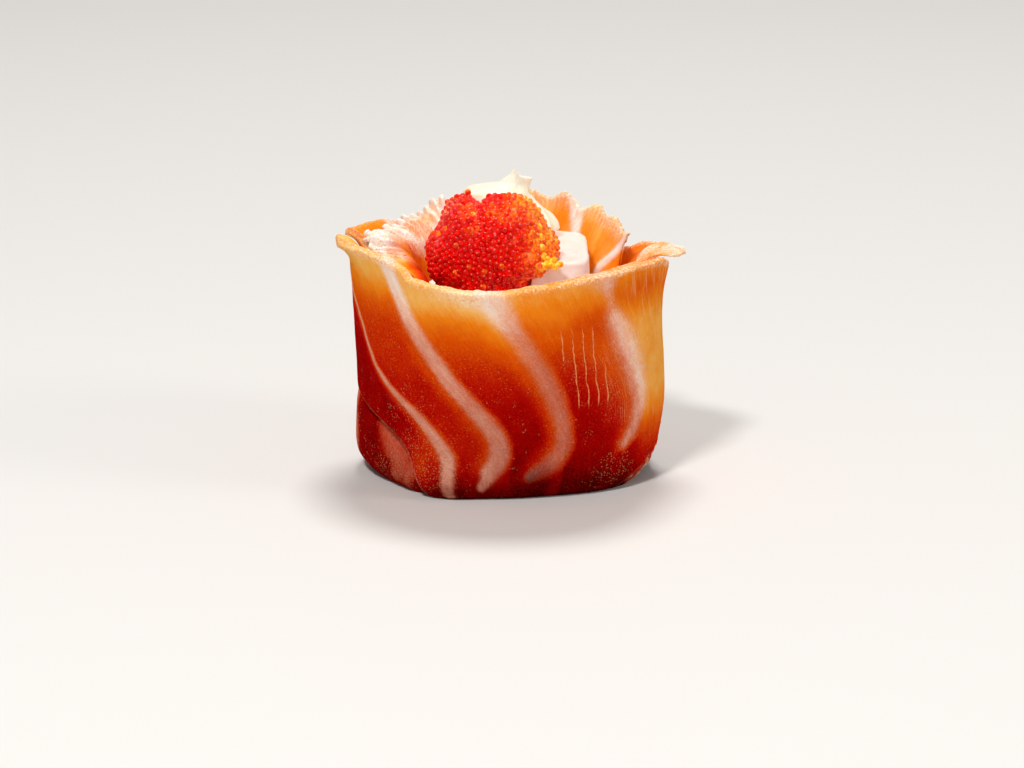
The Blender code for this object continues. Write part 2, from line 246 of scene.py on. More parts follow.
def beyond(a, s, end):
    here = end(s)
    near = np.abs(a - here) * ARC
    for k in range(-20, 21):
        h = s + 0.4 * k
        way = np.hypot((a - end(np.maximum(h, 0.0))) * ARC, s - h)
        near = np.where(h >= 0.0, np.minimum(near, way), near)
    return np.copysign(near, a - here)


def cover(a, s, start, end, middle, tail=THIN_EDGE):
    a = wrap(a, middle - 180.0)
    return smooth(beyond(a, s, start), *THIN_EDGE) * smooth(-beyond(a, s, end), *tail)


def depth_front(a, s):
    return LAYER * cover(a, s, front_left, front_right, 0.0)


def depth_back(a, s):
    return LAYER * cover(a, s, back_right, back_left, 198.0)


def depth_inner(a, s):
    return LAYER * cover(a, s, inner_right, inner_left, 228.0, THIN_TAIL)


def curled(a, s, depth, radius_at, turn, start, length):
    below = np.minimum(s, start)
    r = radius_at(a, below)
    z = below.copy()
    lean = np.arctan2(radius_at(a, start) - radius_at(a, start - 1.0), 1.0)
    over = np.maximum(s - start, 0.0)
    steps = 12
    ds = over / steps
    for i in range(steps):
        beta = np.radians(turn) * smooth((i + 0.5) * ds, 0.0, length)
        r = r + np.sin(lean + beta) * ds
        z = z + np.cos(lean + beta) * ds
    beta = np.radians(turn) * smooth(over, 0.0, length)
    return r - depth * np.cos(beta), z + depth * np.sin(beta)


def front_wall(a, s, depth):
    u = wrap(a, -150.0)
    return curled(a, s, depth, body_radius, along(u, FRONT_CURL), along(u, FRONT_CURL, 2), CURL_LENGTH)


def right_side(a):
    return 1.0 - smooth(wrap(a, 0.0), 110.0, 140.0)


def back_wall(a, s, depth):
    u = wrap(a, 30.0)

    def radius_at(az, z):
        return body_radius(az, z) - depth_front(az, np.minimum(z, 29.0)) * right_side(az)

    return curled(a, s, depth, radius_at, along(u, BACK_CURL), along(u, BACK_CURL, 2), CURL_LENGTH)


def inner_wall(a, s, depth):
    u = wrap(a, 90.0)

    def radius_at(az, z):
        return body_radius(az, z) - depth_front(az, z) - depth_back(az, z) - along(u, INNER_CURL, 3)

    r, z = curled(a, s, depth, radius_at, along(u, INNER_CURL), along(u, INNER_CURL, 2), INNER_CURL_LENGTH)
    return r, z + FRILL * smooth(s, 29.0, 36.0) * np.sin(2 * np.pi * u / FRILL_PITCH)


def at(a, r, z):
    t = np.radians(a)
    return np.stack([r * np.sin(t), -r * np.cos(t), z], axis=-1)


# ================================================================= meshes from arrays
def build(name, points, faces, attributes=None, uv=None, closed_smooth=True):
    """A mesh object from points (N,3) in mm, faces (M,4) or (M,3), named float or vector attributes on points, and UVs for each face corner."""
    points = np.asarray(points, float).reshape(-1, 3) * MM
    faces = np.asarray(faces, np.int32)
    mesh = bpy.data.meshes.new(name)
    sides = faces.shape[1]
    mesh.vertices.add(len(points))
    mesh.vertices.foreach_set("co", points.astype(np.float32).ravel())
    mesh.loops.add(faces.size)
    mesh.loops.foreach_set("vertex_index", faces.ravel())
    mesh.polygons.add(len(faces))
    mesh.polygons.foreach_set("loop_start", np.arange(0, faces.size, sides, dtype=np.int32))
    mesh.polygons.foreach_set("loop_total", np.full(len(faces), sides, np.int32))
    mesh.update(calc_edges=True)
    mesh.polygons.foreach_set("use_smooth", np.full(len(faces), closed_smooth, bool))
    for key, values in (attributes or {}).items():
        values = np.asarray(values, np.float32)
        if values.ndim == 1 or values.shape[-1] == 1:
            mesh.attributes.new(key, "FLOAT", "POINT").data.foreach_set("value", values.ravel())
        else:
            mesh.attributes.new(key, "FLOAT_VECTOR", "POINT").data.foreach_set("vector", values.ravel())
    if uv is not None:
        layer = mesh.uv_layers.new(name="OFBake")
        layer.data.foreach_set("uv", np.asarray(uv, np.float32).ravel())
    mesh.validate(verbose=False)
    mesh.update()
    ob = bpy.data.objects.new(name, mesh)
    bpy.context.scene.collection.objects.link(ob)
    return ob


def facing_out(points, faces):
    """Faces turned so that they enclose a positive volume."""
    p = np.asarray(points).reshape(-1, 3)
    a, b, c = p[faces[:, 0]], p[faces[:, 1]], p[faces[:, 2]]
    volume = np.einsum("ij,ij->i", a, np.cross(b, c)).sum()
    if faces.shape[1] == 4:
        d = p[faces[:, 3]]
        volume += np.einsum("ij,ij->i", a, np.cross(c, d)).sum()
    return faces if volume > 0 else faces[:, ::-1]


def grid_normals(p, closed):
    """Unit normals of a grid of points (columns, ring, 3) whose second axis is closed."""
    du = np.gradient(p, axis=0)
    dv = 0.5 * (np.roll(p, -1, axis=1) - np.roll(p, 1, axis=1)) if closed else np.gradient(p, axis=1)
    n = np.cross(du, dv)
    return n / np.maximum(np.linalg.norm(n, axis=-1, keepdims=True), 1e-9)


RIM_STEPS = 8
FOOT_STEPS = 4
END_STEPS = 4
RIM_SQUARE = 0.62  # 1 would be a round rim, 0 a square one


def even_rows(v):
    return v


def top_rows(v):
    """Rows that lie close together near the rim, where the slice shows."""
    u = 1.0 - v
    return 1.0 - (0.36 * u + 0.64 * u**2.6)


def slab(columns, rows, spread, left, right, foot, rim, wall, outer, thick, fray):
    """The grid of a slice of salmon: columns run along it, and the ring goes up its outer face, over the rim, down the inner face and back under the foot. Returns the points and, for every one, its azimuth, height up the wall, way through the slice (0 outer face, 1 inner face) and distance below the rim."""
    v_face = np.linspace(0.0, 1.0, rows + 1)
    over = (np.arange(RIM_STEPS) + 1.0) / (RIM_STEPS + 1.0) * np.pi
    flat = np.sign(np.cos(over)) * np.abs(np.cos(over)) ** RIM_SQUARE
    v = np.concatenate([v_face, np.ones(RIM_STEPS), v_face[::-1], np.zeros(FOOT_STEPS)])
    w = np.concatenate([
        np.zeros(rows + 1), 0.5 - 0.5 * flat, np.ones(rows + 1),
        1.0 - (np.arange(FOOT_STEPS) + 1.0) / (FOOT_STEPS + 1.0),
    ])
    swell = np.concatenate([np.zeros(rows + 1), np.sin(over) ** RIM_SQUARE, np.zeros(rows + 1), np.zeros(FOOT_STEPS)])
    turn = np.concatenate([
        np.linspace(np.pi / 2, 0.0, END_STEPS + 1)[:-1], np.zeros(columns + 1), np.linspace(0.0, np.pi / 2, END_STEPS + 1)[1:],
    ])
    turn = np.clip(turn, 0.0, math.radians(82.0))
    u = np.concatenate([np.zeros(END_STEPS), np.linspace(0.0, 1.0, columns + 1), np.ones(END_STEPS)])
    side = np.concatenate([-np.ones(END_STEPS), np.zeros(columns + 1), np.ones(END_STEPS)])
    U, V = np.meshgrid(u, v, indexing="ij")
    W, S = np.meshgrid(turn, w, indexing="ij")[1], np.meshgrid(turn, swell, indexing="ij")[1]
    T = np.meshgrid(turn, v, indexing="ij")[0]
    E = np.meshgrid(side, v, indexing="ij")[0]
    W = 0.5 + (W - 0.5) * np.cos(T)
    shape = U.shape
    U, V, W, S, T, E = (x.ravel() for x in (U, V, W, S, T, E))
    f = spread(V)
    lo, hi = float(left(np.array([0.0]))[0]), float(right(np.array([30.0]))[0])
    start = lo + (hi - lo) * U
    low = foot(start)
    a = start
    for _ in range(5):
        top = along(a, rim)
        s = low + f * (top - 0.5 * thick(a, top) * V - low)
        a = start + (left(s) - lo) * (1 - U) ** 10 + (right(s) - hi) * U**4
    t = thick(a, s)
    s = s + S * np.cos(T) * np.minimum(0.5 * t, 0.55)
    a = a + E * np.sin(T) * 0.5 * t / ARC
    top = along(a, rim)
    s = s + fray(a, W) * smooth(s, top - 3.5, top) ** 2
    r, z = wall(a, s, outer(a, s) + t * W)
    points = at(a, r, np.maximum(z, 0.0)).reshape(shape + (3,))
    below = (top - s)
    out = {"a": a, "s": s, "w": W, "below": below, "end": E * np.sin(T), "thick": t}
    return points, {k: x.reshape(shape) for k, x in out.items()}


def slab_faces(shape):
    """Faces of that grid, with its two ends closed like ladders, and a UV chart for each."""
    columns, ring = shape
    i, j = np.meshgrid(np.arange(columns - 1), np.arange(ring), indexing="ij")
    k = (j + 1) % ring
    faces = np.stack([i * ring + j, (i + 1) * ring + j, (i + 1) * ring + k, i * ring + k], axis=-1).reshape(-1, 4)
    sides = (columns - 1.0)
    v0, v1 = j / ring * 0.94, (j + 1) / ring * 0.94
    uv = np.stack([
        np.stack([i / sides, v0], -1), np.stack([(i + 1) / sides, v0], -1),
        np.stack([(i + 1) / sides, v1], -1), np.stack([i / sides, v1], -1),
    ], axis=2).reshape(-1, 4, 2)
    # the ladder starts in the middle of the foot, so that partners face each other
    first = ring - FOOT_STEPS // 2
    order = (first + np.arange(ring)) % ring
    half = ring // 2
    m = np.arange(half - 1)
    p, q = order[m], order[m + 1]
    pp, qq = order[ring - 1 - m], order[ring - 2 - m]
    ends, end_uv = [], []
    for n, column in enumerate((0, columns - 1)):
        base = column * ring
        quad = np.stack([base + p, base + q, base + qq, base + pp], axis=-1)
        ends.append(quad if n else quad[:, ::-1])
        y0, y1 = 0.95 + 0.025 * n, 0.97 + 0.025 * n
        strip = np.stack([
            np.stack([m / half, np.full(len(m), y0)], -1), np.stack([(m + 1) / half, np.full(len(m), y0)], -1),
            np.stack([(m + 1) / half, np.full(len(m), y1)], -1), np.stack([m / half, np.full(len(m), y1)], -1),
        ], axis=1)
        end_uv.append(strip if n else strip[:, ::-1])
    faces = np.concatenate([faces] + ends)
    uv = np.concatenate([uv] + end_uv)
    return faces, uv


# ================================================================= fat lines and the run of the flesh
# Each fat line: height up the wall, azimuth, half its width (mm). They lean to the right as they go down and hook
# back to the left just above the foot.
FRONT_FAT = (
    ((34.5, -92, 0.3), (31, -87, 0.3), (24.5, -73, 0.35), (19.2, -61.5, 0.42), (15.4, -50.5, 0.6), (12.5, -38.5, 0.8),
     (9.7, -30.5, 1.0), (7.0, -25.5, 1.25), (4.2, -25.5, 1.25), (0.5, -27.0, 0.9)),
    ((35.0, -48, 1.5), (33.0, -46.5, 1.5), (28.8, -41, 1.35), (23.5, -32, 1.25), (18.2, -21.5, 1.25), (14.2, -12.5, 1.3),
     (11.2, -6.2, 1.45), (8.4, -3.2, 1.65), (6.2, -4.8, 1.7), (3.8, -8.8, 1.4), (2.0, -12.0, 0.8)),
    ((33.0, -8, 2.7), (30.9, -5.5, 2.2), (26.8, 1.0, 1.6), (22.7, 7.6, 1.5), (18.8, 14, 1.5), (14.0, 20.4, 1.5),
     (10.2, 23.6, 1.6), (7.4, 23.0, 1.8), (5.2, 17.5, 1.7), (3.6, 10.0, 0.9)),
    ((34.5, 32, 2.3), (32.7, 35.5, 2.0), (29.8, 38.5, 1.2), (27.4, 41.0, 1.8), (22.8, 48.0, 2.4), (18.0, 54.5, 2.3),
     (14.1, 58.5, 2.0), (10.1, 57.5, 1.5), (7.2, 53, 0.9)),
)


def eased(line, steps=4):
    """A line given by a few stations as a smooth curve through them."""
    p = np.array(line, float)
    p = np.concatenate([2 * p[:1] - p[1:2], p, 2 * p[-1:] - p[-2:-1]])
    rows = []
    for k in range(1, len(p) - 2):
        for m in range(steps):
            t = m / steps
            rows.append(0.5 * (2 * p[k] + (p[k + 1] - p[k - 1]) * t + (2 * p[k - 1] - 5 * p[k] + 4 * p[k + 1] - p[k + 2]) * t**2
                               + (3 * p[k] - p[k - 1] - 3 * p[k + 1] + p[k + 2]) * t**3))
    return np.array(rows + [p[-2]])


def fat_lines(x, s, lines, soft_left=0.9, soft_right=0.45, halo=2.4, power=2.6):
    """How much of a point is fat, 0 to 1, and how near it is to the orange flesh that lines each fat line's left side. x is the way along the wall in mm. The upper, left side of a line fades out more slowly than its lower, right side."""
    most, near = np.zeros_like(x), np.zeros_like(x)
    x = x + 0.16 * noise(x / 2.2, s / 1.7, 0.0, 201) + 0.07 * noise(x / 0.8, s / 0.7, 0.0, 202)
    for line in lines:
        table = eased(line)
        px, py, half = table[:, 1] * ARC, table[:, 0], table[:, 2]
        best = np.full_like(x, 99.0)
        which = np.zeros_like(x)
        width = np.ones_like(x)
        for i in range(len(table) - 1):
            dx, dy = px[i + 1] - px[i], py[i + 1] - py[i]
            t = np.clip(((x - px[i]) * dx + (s - py[i]) * dy) / (dx * dx + dy * dy), 0.0, 1.0)
            away = np.hypot(x - px[i] - t * dx, s - py[i] - t * dy)
            cross = (x - px[i]) * dy - (s - py[i]) * dx  # negative on the right of a line going down
            nearer = away < best
            best = np.where(nearer, away, best)
            which = np.where(nearer, cross, which)
            width = np.where(nearer, half[i] + (half[i + 1] - half[i]) * t, width)
        soft = np.where(which > 0, soft_left, soft_right) * np.clip(width, 0.3, 1.2)
        most = np.maximum(most, np.exp(-((best / (width + 0.12 * soft)) ** power) * 1.25))
        reach = np.where(which > 0, halo, 0.35 * halo) * np.clip(width, 0.3, 1.1)
        near = np.maximum(near, 1.0 - smooth(best, width, width + reach))
    return most, near


def front_flow(a, s):
    """Which flake a point is in: whole numbers on the fat lines, rising to the right."""
    guides = [
        lambda h: -126.0 + 0 * h,
        lambda h: np.interp(h, [0, 7, 12.5, 19.2, 24.5, 31, 35], [-20, -23, -38.5, -61.5, -73, -87, -93]),
        lambda h: np.interp(h, [0, 8, 11.2, 14.2, 18.2, 23.5, 28.8, 33, 36], [2, -1, -5, -11.5, -21.5, -33.5, -43, -49.5, -54]),
        lambda h: np.interp(h, [0, 10, 14, 18.8, 22.7, 26.8, 30.9, 34], [26, 24.5, 21.2, 14, 7.2, 0.3, -6.5, -11]),
        lambda h: np.interp(h, [0, 14, 18, 22.8, 27.4, 32.7, 36], [63, 58.5, 54.0, 47.5, 41.5, 36.5, 32]),
        lambda h: 100.0 - 0.2 * h,
    ]
    xs = [g(s) for g in guides]
    flow = np.zeros_like(a)
    for k in range(len(xs) - 1):
        span = np.maximum(xs[k + 1] - xs[k], 1.0)
        flow = np.where((a >= xs[k]), k + np.clip((a - xs[k]) / span, 0.0, 1.0), flow)
    return flow


# ================================================================= small helpers for materials
def colour(r, g, b):
    """Display colour, 0 to 255, as the linear colour that shaders use."""
    return tuple((c / 255.0 / 12.92) if c / 255.0 <= 0.04045 else ((c / 255.0 + 0.055) / 1.055) ** 2.4 for c in (r, g, b)) + (1.0,)


class Paint:
    """Builds one procedural material; every method adds a node and returns its output."""

    def __init__(self, name):
        self.mat = bpy.data.materials.new(name)
        self.mat.use_nodes = True
        self.tree = self.mat.node_tree
        self.bsdf = self.tree.nodes["Principled BSDF"]

    def link(self, value, socket):
        if isinstance(value, bpy.types.NodeSocket):
            self.tree.links.new(value, socket)
        else:
            socket.default_value = value

    def attribute(self, name, out="Fac"):
        n = self.tree.nodes.new("ShaderNodeAttribute")
        n.attribute_name = name
        return n.outputs[out]

    def place(self):
        """Object coordinates in millimetres."""
        n = self.tree.nodes.new("ShaderNodeTexCoord")
        return self.scaled(n.outputs["Object"], (1000.0, 1000.0, 1000.0))

    def scaled(self, vector, by):
        n = self.tree.nodes.new("ShaderNodeVectorMath")
        n.operation = "MULTIPLY"
        self.link(vector, n.inputs[0])
        n.inputs[1].default_value = by
        return n.outputs[0]

    def math(self, op, a, b=0.0, c=None, clamp=False):
        n = self.tree.nodes.new("ShaderNodeMath")
        n.operation = op
        n.use_clamp = clamp
        self.link(a, n.inputs[0])
        self.link(b, n.inputs[1])
        if c is not None:
            self.link(c, n.inputs[2])
        return n.outputs[0]

    def fit(self, value, lo, hi, to_lo=0.0, to_hi=1.0, soft=True):
        n = self.tree.nodes.new("ShaderNodeMapRange")
        n.interpolation_type = "SMOOTHSTEP" if soft else "LINEAR"
        self.link(value, n.inputs["Value"])
        for key, v in (("From Min", lo), ("From Max", hi), ("To Min", to_lo), ("To Max", to_hi)):
            self.link(v, n.inputs[key])
        return n.outputs["Result"]

    def noise(self, vector, size, detail=2.0, rough=0.5, distortion=0.0):
        """Noise of about that feature size in the vector's own units, 0 to 1."""
        n = self.tree.nodes.new("ShaderNodeTexNoise")
        self.link(vector, n.inputs["Vector"])
        n.inputs["Scale"].default_value = 1.0 / size
        n.inputs["Detail"].default_value = detail
        n.inputs["Roughness"].default_value = rough
        n.inputs["Distortion"].default_value = distortion
        return n.outputs["Fac"]

    def cells(self, vector, size, feature="F1", out="Distance"):
        n = self.tree.nodes.new("ShaderNodeTexVoronoi")
        n.feature = feature
        self.link(vector, n.inputs["Vector"])
        n.inputs["Scale"].default_value = 1.0 / size
        return n.outputs[out]

    def mix(self, fac, a, b):
        n = self.tree.nodes.new("ShaderNodeMix")
        n.data_type = "RGBA"
        self.link(fac, n.inputs[0])
        self.link(a, n.inputs[6])
        self.link(b, n.inputs[7])
        return n.outputs[2]

    def ramp(self, fac, stops):
        n = self.tree.nodes.new("ShaderNodeValToRGB")
        self.link(fac, n.inputs["Fac"])
        band = n.color_ramp
        while len(band.elements) < len(stops):
            band.elements.new(0.5)
        for e, (p, c) in zip(band.elements, stops):
            e.position = p
            e.color = c
        return n.outputs["Color"]

    def bump(self, height, distance, strength=1.0, normal=None):
        n = self.tree.nodes.new("ShaderNodeBump")
        n.inputs["Strength"].default_value = strength
        n.inputs["Distance"].default_value = distance * MM
        self.link(height, n.inputs["Height"])
        if normal is not None:
            self.link(normal, n.inputs["Normal"])
        return n.outputs["Normal"]

    def set(self, **values):
        for key, value in values.items():
            self.link(value, self.bsdf.inputs[key.replace("_", " ")])
        return self.mat


# ================================================================= salmon
FLESH = (
    (0.00, colour(70, 1, 2)), (0.10, colour(132, 2, 2)), (0.22, colour(168, 4, 2)), (0.32, colour(188, 18, 4)),
    (0.42, colour(203, 46, 5)), (0.58, colour(226, 88, 6)), (0.72, colour(242, 134, 22)), (0.84, colour(248, 180, 86)),
    (1.00, colour(250, 222, 180)),
)
FAT = (
    (0.00, colour(112, 54, 46)), (0.15, colour(160, 94, 80)), (0.30, colour(192, 116, 98)), (0.50, colour(216, 144, 120)),
    (0.70, colour(236, 176, 152)), (0.85, colour(246, 212, 196)), (1.00, colour(248, 232, 224)),
)
FRINGE = (
    (0.00, colour(150, 30, 10)), (0.20, colour(186, 62, 22)), (0.45, colour(206, 90, 34)), (0.65, colour(228, 124, 54)),
    (0.85, colour(247, 180, 118)), (1.00, colour(250, 206, 160)),
)
PALE = colour(247, 214, 182)


def salmon_material(name, streaks=0.028, cracks=False, glow=0.3, grainy=1.0):
    """Raw salmon. Points carry: run (way across the fibres, way along them, way through the slice), tone (dark red to
    pale, partly painted shade at the foot and painted light towards the rim), fat, milk (whiteness of the fat), pale
    (dry rims and cut edges), beads (how thickly moist beads lie, their colour painted lighter as painted glints),
    thread (pale threads) and, where cracks are asked for, crack (way across them, how much).
    """
    p = Paint(name)
    run = p.attribute("run", "Vector")
    tone, fat, pale, beads = p.attribute("tone"), p.attribute("fat"), p.attribute("pale"), p.attribute("beads")
    place = p.place()

    fibre = p.noise(p.scaled(run, (1.0, 0.14, 1.0)), 0.55, 3.0, 0.6)
    fine = p.noise(p.scaled(run, (1.0, 0.30, 1.0)), 0.20, 2.0, 0.65)
    blotch = p.noise(place, 3.6, 3.0, 0.55)
    grain = p.noise(place, 0.26, 3.0, 0.7)
    thread = p.attribute("thread")

    # flesh: soft fibres, a fine pebbled grain and tiny dots strung along the fibres, raised in the bump and painted
    # lighter as painted glints
    dot = p.cells(place, 0.36)
    dots = p.math("MULTIPLY", p.fit(dot, 0.46, 0.16), p.fit(p.cells(place, 0.36, "F1", "Color"), 0.30, 0.55))
    dots = p.math("MULTIPLY", dots, p.fit(p.noise(place, 2.2, 3.0, 0.6), 0.34, 0.60, 0.15, 1.0))
    t = p.math("MULTIPLY_ADD", p.math("SUBTRACT", fibre, 0.5), 3.0 * streaks, tone)
    t = p.math("MULTIPLY_ADD", p.math("SUBTRACT", fine, 0.5), 2.4 * streaks, t)
    t = p.math("MULTIPLY_ADD", p.math("SUBTRACT", blotch, 0.5), 0.16, t)
    calm = p.fit(tone, 0.38, 0.64, 1.0, 0.12)
    t = p.math("MULTIPLY_ADD", p.math("MULTIPLY", p.math("SUBTRACT", grain, 0.5), calm), 0.36 * grainy, t)
    dots = p.math("MULTIPLY", dots, calm)
    t = p.math("MULTIPLY_ADD", dots, 0.17 * grainy, t)
    flesh = p.ramp(t, FLESH)
    lines = p.fit(p.noise(p.scaled(run, (1.0, 0.05, 1.0)), 0.24, 2.0, 0.55), 0.50, 0.68)
    lines = p.math("MULTIPLY", p.math("MULTIPLY", lines, thread), p.fit(grain, 0.3, 0.6, 0.5, 1.0))
    flesh = p.mix(p.math("MULTIPLY", lines, 0.44), flesh, colour(250, 186, 122))

    # fat lines, their edges feathered into the fibres
    edge = p.math("MULTIPLY", p.math("MULTIPLY", fat, p.math("SUBTRACT", 1.0, fat)), 4.0)
    ragged = p.math("ADD", p.math("SUBTRACT", fine, 0.5), p.math("MULTIPLY", p.math("SUBTRACT", grain, 0.5), 0.5))
    much = p.math("MULTIPLY_ADD", p.math("MULTIPLY", edge, ragged), 0.85, fat, clamp=True)
    fringe = p.math("MULTIPLY", p.fit(much, 0.02, 0.42), 0.55)
    flesh = p.mix(fringe, flesh, p.ramp(tone, FRINGE))
    much = p.fit(much, 0.16, 0.98)
    veil = p.fit(p.noise(p.scaled(run, (0.8, 0.35, 1.0)), 0.8, 3.0, 0.65), 0.32, 0.66, 0.62, 1.0)
    lit = p.math("MULTIPLY_ADD", p.math("SUBTRACT", grain, 0.5), 0.42, tone)
    lit = p.math("MULTIPLY_ADD", p.math("SUBTRACT", blotch, 0.5), 0.25, lit)
    lit = p.math("ADD", lit, p.attribute("milk"))
    base = p.mix(p.math("MULTIPLY", much, veil), flesh, p.ramp(lit, FAT))

    # pale, dry rims and cut edges
    edge = p.math("MULTIPLY", p.math("MULTIPLY", pale, p.math("SUBTRACT", 1.0, pale)), 4.0)
    torn = p.math("ADD", p.math("SUBTRACT", grain, 0.5), p.math("SUBTRACT", fine, 0.5))
    dry = p.math("MULTIPLY_ADD", p.math("MULTIPLY", edge, torn), 1.3, pale, clamp=True)
    lively = p.fit(p.attribute("milk"), 0.3, 1.0, 1.2, 0.5)
    spot = p.math("MULTIPLY_ADD", p.math("SUBTRACT", p.noise(place, 0.34, 2.0, 0.6), 0.5), lively, 0.47)
    spot = p.math("MULTIPLY_ADD", p.attribute("milk"), 0.32, spot)
    tuft = p.ramp(spot, ((0.22, colour(216, 116, 44)), (0.42, colour(238, 164, 92)), (0.60, PALE), (0.80, colour(246, 239, 236))))
    base = p.mix(p.math("MULTIPLY", dry, 0.92), base, tuft)

    if cracks:
        # a few upright gaps between the fibres, with pale walls
        crack = p.attribute("crack", "Vector")
        sep = p.tree.nodes.new("ShaderNodeSeparateXYZ")
        p.link(crack, sep.inputs[0])
        wander = p.noise(p.scaled(run, (0.16, 0.9, 1.0)), 2.6, 3.0, 0.6)
        phase = p.math("MULTIPLY_ADD", p.math("SUBTRACT", wander, 0.5), 0.55, sep.outputs[0])
        off = p.math("ABSOLUTE", p.math("SUBTRACT", p.math("FRACT", phase), 0.5))
        wide = p.fit(p.noise(run, 0.8, 1.0, 0.5), 0.3, 0.7, 0.045, 0.115)
        line = p.fit(p.math("DIVIDE", off, wide), 1.0, 0.4)
        broken = p.fit(p.noise(p.scaled(run, (0.5, 0.40, 1.0)), 1.3, 2.0, 0.6), 0.33, 0.40)
        line = p.math("MULTIPLY", p.math("MULTIPLY", line, broken), sep.outputs[1])
        base = p.mix(p.math("MULTIPLY", line, 0.85), base, colour(250, 152, 92))

    # moist beads in clusters, raised in the bump and wet in the coat, their colour painted lighter as painted glints
    bead = p.cells(place, 0.32)
    here = p.fit(beads, 0.0, 1.0, 0.62, 0.30, soft=False)
    where = p.fit(p.noise(place, 1.5, 3.0, 0.65), here, p.math("ADD", here, 0.10))
    few = p.fit(p.cells(place, 0.32, "F1", "Color"), 0.14, 0.40)
    flecks = p.math("MULTIPLY", p.math("MULTIPLY", p.fit(bead, 0.46, 0.14), where), few)
    base = p.mix(p.math("MULTIPLY", flecks, 0.40), base, colour(246, 160, 100))

    relief = p.math("ADD", p.math("MULTIPLY", fibre, 0.30), p.math("MULTIPLY", fine, 0.25))
    relief = p.math("ADD", relief, p.math("MULTIPLY", flecks, 0.9))
    relief = p.math("ADD", relief, p.math("MULTIPLY", dots, 0.9 * grainy))
    relief = p.math("ADD", relief, p.math("MULTIPLY", grain, 0.9 * grainy))
    relief = p.math("ADD", relief, p.math("MULTIPLY", lines, 0.3))
    if cracks:
        relief = p.math("SUBTRACT", relief, p.math("MULTIPLY", line, 0.9))
    normal = p.bump(relief, 0.12, 1.0)
    rough = p.fit(p.noise(place, 1.6, 3.0, 0.6), 0.3, 0.7, 0.34, 0.50)
    rough = p.math("MULTIPLY_ADD", dry, 0.12, rough)
    wet = p.math("MULTIPLY_ADD", flecks, 0.35, p.fit(p.noise(place, 2.6, 3.0, 0.6), 0.52, 0.76, 0.0, 0.03), clamp=True)
    wet = p.math("MULTIPLY_ADD", dots, 0.05, wet, clamp=True)
    b = p.bsdf.inputs
    b["IOR"].default_value = 1.38
    b["Specular IOR Level"].default_value = 0.0
    b["Subsurface Weight"].default_value = glow
    b["Subsurface Radius"].default_value = (1.0, 0.30, 0.12)
    b["Subsurface Scale"].default_value = 0.9 * MM
    b["Coat Roughness"].default_value = 0.08
    b["Coat IOR"].default_value = 1.45
    p.link(normal, b["Coat Normal"])
    return p.set(Base_Color=base, Roughness=rough, Normal=normal, Coat_Weight=wet)


def displaced(points, info, height):
    """Points of a slab moved along their normals, outwards from the slice, by height in mm."""
    n = grid_normals(points, True)
    t = np.radians(info["a"])
    radial = np.stack([np.sin(t), -np.cos(t), np.zeros_like(t)], axis=-1)
    face = info["w"] < 0.02
    if (np.einsum("ijk,ijk->ij", n, radial)[face]).mean() < 0:
        n = -n
    moved = points + n * height[..., None]
    moved[..., 2] = np.maximum(moved[..., 2], 0.0)
    return moved


def flesh_relief(across, s, side, seed):
    """Soft swellings and the fine ribs of the muscle, on either face."""
    k = 40.0 * side
    broad = 0.10 * layered(across / 4.2 + k, s / 10.0, 0.0, seed, 2)
    ribs = 0.022 * noise(across / 0.62 + k, s / 3.5, 0.0, seed + 1) + 0.014 * noise(across / 0.40 + k, s / 1.2, 0.0, seed + 2)
    return broad + ribs


def put(name, points, info, attributes, node, material):
    faces, uv = slab_faces(points.shape[:2])
    flat = points.reshape(-1, 3)
    turned = facing_out(flat, faces)
    if turned is not faces:
        uv = uv[:, ::-1]
    ob = build(name, flat, turned, {k: v.reshape(-1, 3) if v.ndim == 3 else v.ravel() for k, v in attributes.items()}, uv)
    ob.data.materials.append(material)
    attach(ob, "root")
    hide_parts(node)
    return ob


def thinned(a, s, rim, table):
    """A slice gets thinner towards its rim: the share of its full thickness that is left."""
    top = along(a, rim)
    return 1.0 - (1.0 - along(a, table)) * smooth(s, top - 7.0, top - 0.3)


# ----------------------------------------------------------------- front slice
FRONT_THIN = ((-112, 0.62), (-84, 0.64), (-58, 0.54), (-38, 0.64), (-18, 0.74), (4, 0.84), (56, 0.84), (72, 0.60), (84, 0.36), (100, 0.34))


def front_fray(a, w):
    x = a * ARC
    rough = 0.3 + 0.7 * smooth(a, -62, -40)
    return rough * (0.10 * noise(x / 2.2, 0.8 * w, 0.0, 11) + 0.07 * noise(x / 0.60, 2.5 * w, 0.0, 12) + 0.05 * noise(x / 0.30, 4.0 * w, 0.0, 13))


def front_thick(a, s):
    return (depth_front(a, s) - GAP) * thinned(a, s, FRONT_RIM, FRONT_THIN)


